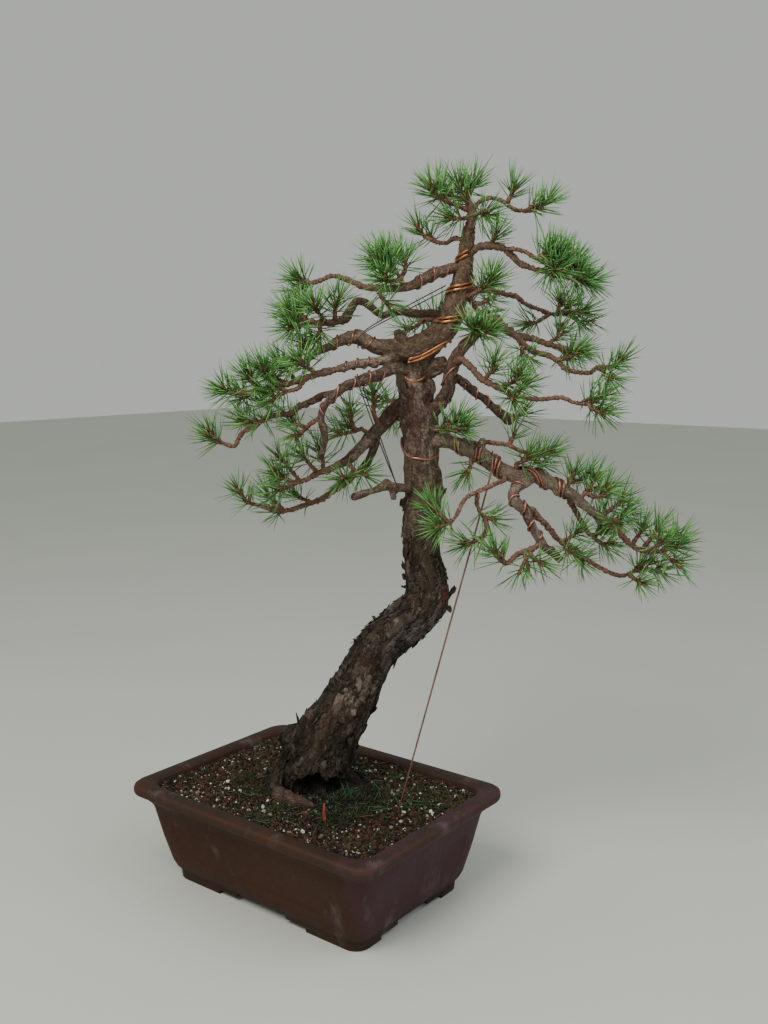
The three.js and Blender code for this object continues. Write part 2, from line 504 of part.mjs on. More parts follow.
function isClear(node, a, b, radius) {
  const reach = a.distanceTo(b) / 2 + radius;
  const middle = a.clone().add(b).multiplyScalar(0.5);
  return placed.every((p) => {
    if (p.node === node) return true;
    const far = middle.distanceTo(p.a) > reach + p.a.distanceTo(p.b) + p.radius + CLEARANCE;
    return far || gapBetween(a, b, p.a, p.b) > radius + p.radius + CLEARANCE;
  });
}

function roundedRectangle(halfLength, halfWidth, radius) {
  const shape = new THREE.Shape();
  shape.absarc(halfLength - radius, halfWidth - radius, radius, 0, Math.PI / 2);
  shape.absarc(radius - halfLength, halfWidth - radius, radius, Math.PI / 2, Math.PI);
  shape.absarc(radius - halfLength, radius - halfWidth, radius, Math.PI, 1.5 * Math.PI);
  shape.absarc(halfLength - radius, radius - halfWidth, radius, 1.5 * Math.PI, 2 * Math.PI);
  return shape;
}

// A rounded rectangle carried up a profile of [inset from the rim's outline, height].
function loft(profile) {
  const steps = profile.length - 1;
  const outline = roundedRectangle(POT_LENGTH / 2, POT_WIDTH / 2, RIM_CORNER_RADIUS);
  const options = { depth: steps, steps, bevelEnabled: false, curveSegments: 2 };
  const geometry = new THREE.ExtrudeGeometry(outline, options);
  const position = geometry.attributes.position;
  for (let i = 0; i < position.count; i++) {
    const [inset, height] = profile[Math.round(position.getZ(i))];
    position.setX(i, position.getX(i) * (1 - (2 * inset) / POT_LENGTH));
    position.setY(i, position.getY(i) * (1 - (2 * inset) / POT_WIDTH));
    position.setZ(i, height);
  }
  return solidOf(geometry);
}

function block(lengthX, lengthY, lengthZ, x, y, z) {
  return solidOf(new THREE.BoxGeometry(lengthX, lengthY, lengthZ).translate(x, y, z));
}

function upright(radius, height, x, y, z, sides) {
  const cylinder = new THREE.CylinderGeometry(radius, radius, height, sides);
  return solidOf(cylinder.rotateX(Math.PI / 2).translate(x, y, z));
}

// What is cut away under one pair of sides: a gap between the corner feet, and a lower step at each end of it.
function footGap(gap, alongX) {
  const cut = (width, height) => block(alongX ? width : POT_LENGTH, alongX ? POT_WIDTH : width, height, 0, 0, 0);
  return cut(gap, 2 * FOOT_HEIGHT).add(cut(gap + 2 * GAP_STEP, FOOT_HEIGHT));
}

function makePot() {
  const ringInset = FOOT_INSET + FOOT_RING_WIDTH;
  let pot = loft(POT_OUTSIDE).subtract(loft(POT_INSIDE));
  pot = pot.subtract(loft([[ringInset, -1], [ringInset, FOOT_HEIGHT]]));
  pot = pot.subtract(footGap(LONG_SIDE_GAP, true)).subtract(footGap(SHORT_SIDE_GAP, false));
  for (const side of [-1, 1])
    pot = pot.subtract(upright(DRAIN_RADIUS, 60, (side * DRAIN_SPACING) / 2, 0, 20, 16));
  return pot;
}

// A square of netting over each drain hole, which keeps the soil in.
function makeScreen(side) {
  const x = (side * DRAIN_SPACING) / 2;
  const z = FLOOR_TOP + SEAT_GAP + SCREEN_THICKNESS / 2;
  let screen = block(SCREEN_SIZE, SCREEN_SIZE, SCREEN_THICKNESS, x, 0, z);
  for (const i of [-9, 9])
    for (const j of [-9, 9]) screen = screen.subtract(block(SCREEN_WINDOW, SCREEN_WINDOW, 9, x + i, j, z));
  return screen;
}

function makeSoil(buried) {
  const bed = new THREE.BoxGeometry(POT_LENGTH, POT_WIDTH, 200, 11, 8, 1).translate(0, 0, 100);
  const position = bed.attributes.position;
  for (let i = 0; i < position.count; i++) {
    if (position.getZ(i) < 100) continue;
    const x = position.getX(i);
    const y = position.getY(i);
    const mound = SOIL_MOUND * Math.exp(-(x * x + y * y) / (90 * 90));
    const crumbs =
      1.6 * Math.sin(0.21 * x + 1.3 * Math.sin(0.17 * y)) * Math.cos(0.19 * y + Math.sin(0.13 * x));
    position.setZ(i, SOIL_LEVEL + mound + crumbs);
  }
  const inside = POT_INSIDE.map(([inset, height]) => [inset + SEAT_GAP, height]);
  inside[0][1] += SEAT_GAP;
  let soil = solidOf(bed).intersect(loft(inside));
  for (const side of [-1, 1]) {
    const x = (side * DRAIN_SPACING) / 2;
    soil = soil.subtract(block(SCREEN_SIZE + 1, SCREEN_SIZE + 1, 2 * SCREEN_THICKNESS + 2, x, 0, FLOOR_TOP));
  }
  return soil.subtract(buried);
}

const UP = new THREE.Vector3(0, 0, 1);
const stems = { trunk: TRUNK };
for (const [name, limb] of Object.entries(LIMBS)) stems[name] = limb.points;

// Where a branchlet is seated on the wood, with its radius there.
function seatOf({ endOf, radius, stems: [[first, second]] }) {
  if (!endOf) return { from: new THREE.Vector3(...first), at: new THREE.Vector3(...second), radius };
  const [before, end] = stems[endOf].slice(-2);
  return { from: new THREE.Vector3(...before), at: new THREE.Vector3(...end), radius: end[3] };
}

function makeWood() {
  const solids = [stem(TRUNK, 11, evenly(24), 0.05)];
  record("wood", TRUNK);
  for (const { points, sides } of Object.values(LIMBS)) {
    solids.push(stem(points, sides, atPoints(points)));
    record("wood", points);
  }
  for (const branchlet of Object.values(BRANCHLETS).filter(({ endOf }) => !endOf)) {
    const { from, at, radius } = seatOf(branchlet);
    const peg = [[...from, radius], [...at, radius]];
    solids.push(stem(peg, 3, evenly(1)));
    record("wood", peg);
  }
  return joined(solids);
}

// The buried foot of the trunk and roots, a little thicker than the wood: the hole that they fill in the soil.
function makeBuriedWood() {
  const thicker = (points) => points.map(([x, y, z, radius]) => [x, y, z, radius * 1.05 + 2]);
  const roots = Object.entries(LIMBS).filter(([name]) => name.startsWith("root"));
  const holes = roots.map(([, { points, sides }]) => stem(thicker(points), sides, atPoints(points)));
  const [x, y, z, radius] = TRUNK[0];
  const foot = thicker([[x, y, z - 2, radius], ...TRUNK.slice(1, 5)]);
  return joined([stem(foot, 11, evenly(6), 0.05), ...holes]);
}

// The route of a wire wound round a stem. Where other wood stands in its way it is bent outwards, clear of it.
function coilRoute({ radius, on, fit = 1.02, before = [], windings }) {
  const points = stems[on];
  const curve = curveThrough(points);
  const [first, last] = [windings[0][1], windings.at(-1)[1]];
  const steps = Math.round(Math.abs(last - first) * WIRE_STEPS_PER_TURN);
  const wound = evenly(steps).map((share) => {
    const turns = THREE.MathUtils.lerp(first, last, share);
    const k = windings.findIndex(([, made], i) => i && Math.abs(made - first) >= Math.abs(turns - first) - 1e-9);
    const [[u0, turns0], [u1, turns1]] = [windings[k - 1], windings[k]];
    const u = THREE.MathUtils.mapLinear(turns, turns0, turns1, u0, u1);
    const along = curve.getTangentAt(u);
    const front = new THREE.Vector3(0, -1, 0).projectOnPlane(along).normalize();
    const out = front.applyAxisAngle(along, 2 * Math.PI * turns);
    const middle = fit * radiusAt(curve, points, u) + radius + SEAT_GAP;
    const close = middle / Math.cos(Math.PI / WIRE_STEPS_PER_TURN);
    const place = curve.getPointAt(u).addScaledVector(out, close);
    for (let push = 0; push < 24 && !isClear("", place, place.clone().add(out), radius); push++)
      place.addScaledVector(out, 0.5);
    return [...place, radius];
  });
  return [...before.map((p) => [...p, radius]), ...wound];
}

function makeCoil(node, coil) {
  const route = coilRoute(coil);
  record(node, route, 2);
  return stem(route, 3, atPoints(route));
}

function makeGuy(node, { radius, sides, points }) {
  const route = points.map((p) => [...p, radius]);
  record(node, route);
  return stem(route, sides, atPoints(route));
}

// Where a needle that is raised from a face of a shoot has its tip. It stands out at the shoot's foot and leans
// forward near its end. Several directions are tried in turn until one is clear of everything else.
function needleTip(node, foot, out, along, share) {
  for (let attempt = 0; attempt < 12; attempt++) {
    const spread = 0.25 + 0.06 * attempt;
    const lean = THREE.MathUtils.degToRad(64 - 38 * share + 60 * spread * (random() - 0.5));
    const sideways = new THREE.Vector3().crossVectors(along, out).multiplyScalar(2 * spread * (random() - 0.5));
    const direction = out.clone().multiplyScalar(Math.sin(lean)).addScaledVector(along, Math.cos(lean));
    direction.add(sideways);
    direction.z += 0.1;
    direction.normalize();
    const length = NEEDLE_LENGTH * (attempt > 8 ? 0.6 : 0.85 + 0.25 * random());
    const tip = foot.clone().addScaledVector(direction, length);
    const waist = foot.clone().lerp(tip, 0.4);
    if (!isClear(node, foot, waist, NEEDLE_FOOT_RADIUS)) continue;
    if (!isClear(node, waist, tip, NEEDLE_TIP_RADIUS)) continue;
    placed.push({ node, a: foot, b: waist, radius: NEEDLE_FOOT_RADIUS });
    placed.push({ node, a: waist, b: tip, radius: NEEDLE_TIP_RADIUS });
    return tip;
  }
  return null;
}

// The tip of the needle that leads a shoot, straight on from its end and as long as there is room for.
function leadingTip(node, end, along) {
  for (const length of [1, 0.8, 0.6, 0.4, 0.2].map((share) => share * NEEDLE_LENGTH)) {
    const tip = end.clone().addScaledVector(along, length);
    if (!isClear(node, end, tip, NEEDLE_TIP_RADIUS)) continue;
    placed.push({ node, a: end, b: tip, radius: NEEDLE_TIP_RADIUS });
    return tip;
  }
  return end;
}

// A stem whose last stretch is a shoot with needles. Each side of it there is two triangles. One of them, and
// on every other side the second one too, is raised to a long point. The cap at its end is drawn out into the
// leading needle.
function leafyStem(node, points, sides) {
  const curve = curveThrough(points);
  const length = curve.getLength();
  const shootStart = 1 - Math.min(SHOOT_LENGTH / length, 0.6);
  const bareRings = atPoints(points).filter((share) => (shootStart - share) * length > 0.3 * SHOOT_LENGTH);
  const shootRings = evenly(SHOOT_STEPS).map((share) => THREE.MathUtils.lerp(shootStart, 1, share));
  const rings = [...bareRings, ...shootRings];
  const steps = rings.length - 1;
  const geometry = stemGeometry(points, sides, rings);
  const corners = geometry.attributes.position;
  const positions = Array.from(corners.array);
  const end = curve.getPointAt(1);
  const leader = leadingTip(node, end, curve.getTangentAt(1));
  const faces = [];
  for (let face = 0; face < geometry.index.count / 3; face++) {
    const [a, b, c] = [0, 1, 2].map((k) => geometry.index.getX(3 * face + k));
    faces.push([a, b, c]);
    const column = Math.floor(face / (2 * steps));
    const row = Math.floor(face / 2) % steps;
    if (column >= sides || row >= SHOOT_STEPS || (face % 2 && (column + row) % 2)) continue;
    const foot = new THREE.Vector3();
    for (const corner of [a, b, c])
      foot.add(new THREE.Vector3().fromBufferAttribute(corners, corner).divideScalar(3));
    const share = 1 - (row + (face % 2 ? 2 / 3 : 1 / 3)) / SHOOT_STEPS;
    const u = THREE.MathUtils.lerp(shootStart, 1, share);
    const along = curve.getTangentAt(u);
    const out = foot.clone().sub(curve.getPointAt(u)).projectOnPlane(along).normalize();
    const tip = needleTip(node, foot, out, along, share);
    if (!tip) continue;
    const top = positions.length / 3;
    positions.push(...tip.toArray());
    faces.splice(-1, 1, [a, b, top], [b, c, top], [c, a, top]);
  }
  for (let i = 0; i < positions.length; i += 3) {
    const corner = new THREE.Vector3(...positions.slice(i, i + 3));
    if (corner.distanceTo(end) < 1e-3) positions.splice(i, 3, ...leader.toArray());
  }
  const raised = new THREE.BufferGeometry();
  raised.setAttribute("position", new THREE.BufferAttribute(new Float32Array(positions), 3));
  raised.setIndex(faces.flat());
  return solidOf(raised);
}

// A branchlet's stems taper from its seat to its shoots. The first starts a hair off its seat, square to it.
function branchletStems(branchlet) {
  const { from, at, radius } = seatOf(branchlet);
  const outwards = at.clone().sub(from).normalize();
  const start = [SEAT_GAP, SEAT_GAP + 3].map((gap) => at.clone().addScaledVector(outwards, gap).toArray());
  return branchlet.stems.map((points, i) => {
    const route = i ? points : [...start, ...points.slice(branchlet.endOf ? 0 : 2)];
    const foot = i ? Math.min(2, 0.4 * radius + 0.5) : radius;
    return route.map((p, k) => [...p, THREE.MathUtils.lerp(foot, SHOOT_RADIUS, k / (route.length - 1))]);
  });
}

function makeBranchlet(node, routes) {
  return joined(routes.map((points) => leafyStem(node, points, 3)));
}

const bonsai = new THREE.Group();
const tree = new THREE.Group();
tree.rotation.z = THREE.MathUtils.degToRad(TREE_TURN);
bonsai.add(tree);

function add(group, name, solid, material) {
  const mesh = new THREE.Mesh(geometryOf(solid), material);
  mesh.name = name;
  group.add(mesh);
}

add(tree, "wood", makeWood(), bark);

for (const [name, coil] of Object.entries(COILS)) add(tree, name, makeCoil(name, coil), copper);
for (const [name, guy] of Object.entries(GUYS))
  add(tree, name, makeGuy(name, guy), name === "guy_right" ? copper : darkWire);

const routesOf = {};
for (const [name, branchlet] of Object.entries(BRANCHLETS)) {
  routesOf[name] = branchletStems(branchlet);
  for (const points of routesOf[name]) record(`needles_${name}`, points);
}
for (const name of Object.keys(BRANCHLETS))
  add(tree, `needles_${name}`, makeBranchlet(`needles_${name}`, routesOf[name]), foliage);

const guyHole = GUYS.guy_right.points.slice(-3).map((p) => [...p, GUYS.guy_right.radius + 1]);
guyHole.at(-1)[2] -= 1;
const buried = makeBuriedWood().add(stem(guyHole, 6, evenly(2)));
const turnedBuried = solidOf(geometryOf(buried).rotateZ(tree.rotation.z));
add(bonsai, "pot", makePot(), clay);
add(bonsai, "soil", makeSoil(turnedBuried), earth);
add(bonsai, "drain_screen_left", makeScreen(-1), netting);
add(bonsai, "drain_screen_right", makeScreen(1), netting);

// The origin is the middle of the whole object's footprint, on the surface that it stands on.
bonsai.updateMatrixWorld(true);
const box = new THREE.Box3().setFromObject(bonsai, true);
const middle = box.getCenter(new THREE.Vector3());
bonsai.position.set(-middle.x, -middle.y, -box.min.z);

export default bonsai;
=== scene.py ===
import math

import bpy
import numpy as np
from mathutils import Matrix, Vector
from mathutils.bvhtree import BVHTree
from mathutils.kdtree import KDTree


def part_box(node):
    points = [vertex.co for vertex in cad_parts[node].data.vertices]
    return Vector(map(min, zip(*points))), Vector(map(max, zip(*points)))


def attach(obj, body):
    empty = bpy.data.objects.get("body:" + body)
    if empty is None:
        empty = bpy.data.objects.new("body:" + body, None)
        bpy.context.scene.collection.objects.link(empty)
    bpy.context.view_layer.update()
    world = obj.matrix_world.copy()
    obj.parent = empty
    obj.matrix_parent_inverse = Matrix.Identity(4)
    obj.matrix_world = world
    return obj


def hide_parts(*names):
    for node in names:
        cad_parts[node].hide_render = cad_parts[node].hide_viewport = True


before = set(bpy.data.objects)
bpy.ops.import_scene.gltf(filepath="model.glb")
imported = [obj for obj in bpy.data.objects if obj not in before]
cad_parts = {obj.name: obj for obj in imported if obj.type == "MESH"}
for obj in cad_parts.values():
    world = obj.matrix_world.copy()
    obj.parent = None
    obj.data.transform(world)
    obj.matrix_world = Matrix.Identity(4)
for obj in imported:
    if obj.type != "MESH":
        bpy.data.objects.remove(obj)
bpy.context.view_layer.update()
bpy.ops.object.select_all(action="DESELECT")

# The pot: a deep oblong training pot of unglazed stoneware, with rounded corners, a broad soft lip and
# stepped feet. It is pressed in a mould, its inside hollowed out and its feet and drain holes cut, and then
# fired, so that every edge is soft. Its walls keep a faint raised band round their flat middles.

POT_LENGTH, POT_WIDTH, CORNER_RADIUS = 0.400, 0.296, 0.025
# Outline from the foot up over the lip and down inside: how far in from the rim, and how high.
POT_OUTLINE = [
    (0.0446, 0), (0.044, 0.0006), (0.0432, 0.0112), (0.0424, 0.0128), (0.0386, 0.018), (0.0352, 0.026),
    (0.027, 0.060), (0.019, 0.100), (0.0178, 0.1038), (0.0150, 0.1080), (0.0110, 0.1125), (0.0070, 0.1156),
    (0.0040, 0.1175), (0.0014, 0.1193), (0.0003, 0.1212), (0, 0.1230), (0, 0.1270), (0.0008, 0.1296),
    (0.0026, 0.1312), (0.0055, 0.1320), (0.0150, 0.1320), (0.0196, 0.1313), (0.0226, 0.1290),
    (0.0246, 0.1245), (0.028, 0.112), (0.038, 0.072), (0.048, 0.034), (0.0494, 0.0295), (0.052, 0.0262),
]
FOOT_INSET, FOOT_RING_WIDTH, FOOT_HEIGHT, RECESS_RADIUS = 0.044, 0.018, 0.012, 0.014
# The gaps between the feet: how wide, and whether in a long side. Each has a lower step at both its ends.
FOOT_GAPS = [(0.084, True), (0.060, False)]
GAP_STEP = 0.032
DRAIN_RADIUS, DRAIN_SPACING, DRAIN_CUT = 0.013, 0.150, (-0.01, 0.05)
# Between which heights the walls are flat, and the raised band round that.
WALL_FLAT = (0.022, 0.1)
BAND_WIDTH, BAND_SLOPE, BAND_STEP = 0.030, 0.002, 0.0009
EDGE_RADIUS, SHARP_EDGE, SMOOTH_EDGE = 0.0012, math.radians(50), math.radians(28)
POT_ORIGIN = (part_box("pot")[0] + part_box("pot")[1]) / 2
POT_ORIGIN.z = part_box("pot")[0].z


def paint(red, green, blue):
    """A colour as it is seen, in parts of 255, as the numbers that a shader takes."""
    return (*(((c / 255 + 0.055) / 1.055) ** 2.4 if c > 10 else c / 3294.6 for c in (red, green, blue)), 1)


def start_material(name, **finish):
    """A new material, its shader with these plain values, and a function that adds nodes to it."""
    material = bpy.data.materials.new(name)
    material.use_nodes = True
    nodes = material.node_tree.nodes
    shader = nodes["Principled BSDF"]
    for socket, value in finish.items():
        shader.inputs[socket.replace("_", " ")].default_value = value

    def add(kind, inputs=(), **settings):
        node = nodes.new("ShaderNode" + kind)
        for setting, value in settings.items():
            setattr(node, setting, value)
        for socket, value in dict(inputs).items():
            if isinstance(value, bpy.types.NodeSocket):
                material.node_tree.links.new(value, node.inputs[socket])
            else:
                node.inputs[socket].default_value = value
        return node

    return material, shader, add


def feed(shader, socket, value):
    shader.id_data.links.new(value, shader.inputs[socket])


def noise(add, place, size, detail=4, roughness=0.55, stretch=(1, 1, 1)):
    """Cloudy noise from 0 to 1, whose patches are about a size in metres."""
    scaled = add("Mapping", {"Vector": place, "Scale": stretch}).outputs[0]
    inputs = {"Vector": scaled, "Scale": 1 / size, "Detail": detail, "Roughness": roughness}
    return add("TexNoise", inputs).outputs[0]


def between(add, value, low, high, start=0, end=1):
    """Start below low and end above high."""
    inputs = {"Value": value, "From Min": low, "From Max": high, "To Min": start, "To Max": end}
    return add("MapRange", inputs, interpolation_type="SMOOTHSTEP").outputs[0]


def mixed(add, share, first, second):
    return add("Mix", {0: share, 6: first, 7: second}, data_type="RGBA").outputs[2]


def worked_out(add, operation, first, second):
    return add("Math", {0: first, 1: second}, operation=operation).outputs[0]


def washed(add, colour, value, low, high, share, tone):
    """A colour with a tone over it: none of it where a value is low, and this share where it is high."""
    return mixed(add, between(add, value, low, high, 0, share), colour, tone)


def tinged(add, colour, value, share, tone):
    """A colour with a tone over it: none of it where a value is 0, and this share where it is 1."""
    return mixed(add, worked_out(add, "MULTIPLY", value, share), colour, tone)


def bumped(add, shader, *layers):
    """Small relief: each layer is its height from 0 to 1 and how deep that is in metres."""
    normal = None
    for height, depth in layers:
        inputs = {"Height": height, "Distance": depth, "Strength": 1}
        if normal:
            inputs["Normal"] = normal
        normal = add("Bump", inputs).outputs[0]
    feed(shader, "Normal", normal)


def object_place(add):
    return add("TexCoord").outputs["Object"]


def clay_finish():
    clay, shader, add = start_material("pot_clay", Specular_IOR_Level=0.2)
    place = object_place(add)
    cloud = noise(add, place, 0.13, 3)
    speck = noise(add, place, 0.0032, 4, 0.7)
    end, _, low = add("SeparateXYZ", {0: place}).outputs
    colour = mixed(add, between(add, cloud, 0.35, 0.65), paint(57, 32, 17), paint(54, 32, 23))
    # Painted light: the pot's right end is tinted purplish and a little lighter, for the cool light that
    # falls on that side.
    end = worked_out(add, "SUBTRACT", end, POT_ORIGIN.x)
    colour = washed(add, colour, end, 0.146, 0.17, 1, paint(62, 39, 43))
    patch = between(add, noise(add, place, 0.03, 5), 0.3, 0.6)
    lip = worked_out(add, "MULTIPLY", between(add, low, 0.116, 0.124), patch)
    colour = tinged(add, colour, lip, 0.85, paint(43, 33, 26))
    colour = washed(add, colour, speck, 0.56, 0.74, 0.4, paint(96, 66, 54))
    colour = washed(add, colour, speck, 0.42, 0.28, 0.5, paint(38, 24, 21))
    worn = between(add, add("NewGeometry").outputs["Pointiness"], 0.51, 0.57)
    colour = tinged(add, colour, worn, 0.3, paint(100, 70, 54))
    # Darker towards the foot, in patches.
    darkening = worked_out(add, "MULTIPLY", between(add, low, 0.034, 0.0), patch)
    colour = tinged(add, colour, darkening, 0.7, paint(42, 34, 28))
    bloom = between(add, noise(add, place, 0.05, 7, 0.66, (1, 1, 0.6)), 0.55, 0.78)
    colour = tinged(add, colour, bloom, 0.4, paint(122, 112, 114))
    feed(shader, "Base Color", colour)
    feed(shader, "Roughness", between(add, cloud, 0.2, 0.8, 0.56, 0.72))
    bumped(add, shader, (speck, 0.0003), (noise(add, place, 0.018, 3), 0.0012))
    return clay


def select_by(piece, test, kind="faces"):
    """In edit mode, selects the faces or edges of a piece that pass a test."""
    bpy.ops.object.mode_set(mode="EDIT")
    bpy.ops.mesh.select_mode(type={"faces": "FACE", "edges": "EDGE"}[kind])
    bpy.ops.mesh.select_all(action="DESELECT")
    bpy.ops.object.mode_set(mode="OBJECT")
    for part in getattr(piece.data, "polygons" if kind == "faces" else "edges"):
        part.select = bool(test(part))
    bpy.ops.object.mode_set(mode="EDIT")


def apply_modifier(piece, kind, **settings):
    modifier = piece.modifiers.new(kind.title(), kind)
    for setting, value in settings.items():
        setattr(modifier, setting, value)
    bpy.context.view_layer.objects.active = piece
    bpy.ops.object.modifier_apply(modifier=modifier.name)


def cut_away(piece, cutter):
    apply_modifier(piece, "BOOLEAN", operation="DIFFERENCE", object=cutter, solver="EXACT")
    bpy.data.objects.remove(cutter)


def block(size, height=0):
    """A block of this size, whose middle is at this height."""
    bpy.ops.mesh.primitive_cube_add(size=1, location=(0, 0, height), scale=size)
    bpy.ops.object.transform_apply(location=True, rotation=True, scale=True)
    return bpy.context.object


def round_upright_edges(piece, radius, segments):
    upright = lambda edge: len({round(piece.data.vertices[k].co.z, 4) for k in edge.vertices}) > 1
    select_by(piece, upright, "edges")
    bpy.ops.mesh.bevel(offset=radius, segments=segments, affect="EDGES")
    bpy.ops.object.mode_set(mode="OBJECT")


def is_flat_wall(face):
    """Whether a face is one of the four large flat faces on the outside of the pot."""
    outside = face.center.xy.dot(face.normal.xy) > 0 and abs(face.normal.z) < 0.5
    return outside and WALL_FLAT[0] < face.center.z < WALL_FLAT[1] and face.area > 0.002


def build_pot(clay):
    # A thin slab, drawn up and in or out from ring to ring of the outline.
    (base_inset, _), (_, first_height) = POT_OUTLINE[:2]
    length, width = POT_LENGTH - 2 * base_inset, POT_WIDTH - 2 * base_inset
    pot = block((length, width, first_height), first_height / 2)
    pot.name = pot.data.name = "pot_body"
    round_upright_edges(pot, CORNER_RADIUS * length / POT_LENGTH, 9)
    select_by(pot, lambda face: face.normal.z > 0.9)
    rings = [(base_inset, first_height), *POT_OUTLINE[1:]]
    for (last_inset, last_height), (inset, height) in zip(rings, rings[1:]):
        across = (POT_LENGTH - 2 * inset) / (POT_LENGTH - 2 * last_inset)
        along = (POT_WIDTH - 2 * inset) / (POT_WIDTH - 2 * last_inset)
        bpy.ops.mesh.extrude_region_move(TRANSFORM_OT_translate={"value": (0, 0, height - last_height)})
        bpy.ops.transform.resize(value=(across, along, 1))
    bpy.ops.object.mode_set(mode="OBJECT")
    select_by(pot, is_flat_wall)
    bpy.ops.mesh.inset(thickness=BAND_WIDTH / 2, use_outset=False)
    bpy.ops.mesh.inset(thickness=BAND_SLOPE, depth=-BAND_STEP)
    bpy.ops.object.mode_set(mode="OBJECT")

    # The recess under the pot, the gaps that leave the feet, and the drain holes.
    inset = FOOT_INSET + FOOT_RING_WIDTH
    recess = block((POT_LENGTH - 2 * inset, POT_WIDTH - 2 * inset, 2 * FOOT_HEIGHT))
    round_upright_edges(recess, RECESS_RADIUS, 5)
    cut_away(pot, recess)
    for gap, in_long_side in FOOT_GAPS:
        for width, height in ((gap, 2 * FOOT_HEIGHT), (gap + 2 * GAP_STEP, FOOT_HEIGHT)):
            size = (width, POT_WIDTH, height) if in_long_side else (POT_LENGTH, width, height)
            cut_away(pot, block(size))
    for side in (-1, 1):
        bpy.ops.mesh.primitive_cylinder_add(
            vertices=32, radius=DRAIN_RADIUS, depth=DRAIN_CUT[1] - DRAIN_CUT[0],
            location=(side * DRAIN_SPACING / 2, 0, sum(DRAIN_CUT) / 2),
        )
        bpy.ops.object.transform_apply(location=True, rotation=True, scale=True)
        cut_away(pot, bpy.context.object)
    apply_modifier(pot, "BEVEL", width=EDGE_RADIUS, segments=2, limit_method="ANGLE", angle_limit=SHARP_EDGE)
    pot.data.transform(Matrix.Translation(POT_ORIGIN))
    bpy.ops.object.select_all(action="DESELECT")
    pot.select_set(True)
    bpy.context.view_layer.objects.active = pot
    bpy.ops.object.shade_smooth_by_angle(angle=SMOOTH_EDGE)
    bpy.ops.object.select_all(action="DESELECT")
    pot.data.materials.append(clay)
    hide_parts("pot")
    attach(pot, "root")


build_pot(clay_finish())

# The drain screens: two squares of black plastic netting, cut from a roll and laid over the drain holes,
# so that the soil stays in.


def netting_finish():
    netting, shader, add = start_material("black_netting", Roughness=0.55)
    place = object_place(add)
    dust = between(add, noise(add, place, 0.004), 0.4, 0.7)
    colour = mixed(add, dust, paint(24, 24, 25), paint(58, 50, 44))
    feed(shader, "Base Color", colour)
    bumped(add, shader, (noise(add, place, 0.0015), 0.0002))
    return netting


netting = netting_finish()
for name in ("drain_screen_left", "drain_screen_right"):
    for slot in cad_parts[name].material_slots:
        slot.material = netting

# The wood: trunk, leader, limbs, dead stub and surface roots of a Scots pine, grown as one piece and bent
# with wire over the years. Thick grey plates of bark cover the old wood, and thin flaky brown bark the
# young. Its foot is planted in the soil, and the tree's front is turned from the front of the pot.

TREE_TURN = math.radians(38)
# How fine the meshes of the two parts of the wood are.
TRUNK_VOXEL, LIMB_VOXEL = 1.56, 1.55

# Each stem is a list of its middle points with the radius there, in millimetres from the middle of the
# pot's base, with X to the right and Z up as the tree's front is seen, and Y away from the viewer.
TRUNK = [
    [-14, 24, 70, 38], [-13, 24, 98, 41], [-9, 22, 130, 44], [0, 17, 160, 47], [14, 13, 194, 41.5],
    [38, 10, 234, 35], [61, 8, 281, 30.5], [82, 5, 318, 29.5], [111, 0, 346, 29], [137, -3, 370, 29],
    [144, -4, 398, 27.5], [137, 0, 434, 24.5], [134, 2, 474, 23], [137, 4, 516, 24], [135, 5, 558, 22.5],
    [132, 6, 597, 23], [127, 6, 634, 21.5], [122, 5, 662, 21], [127, 0, 680, 17],
]

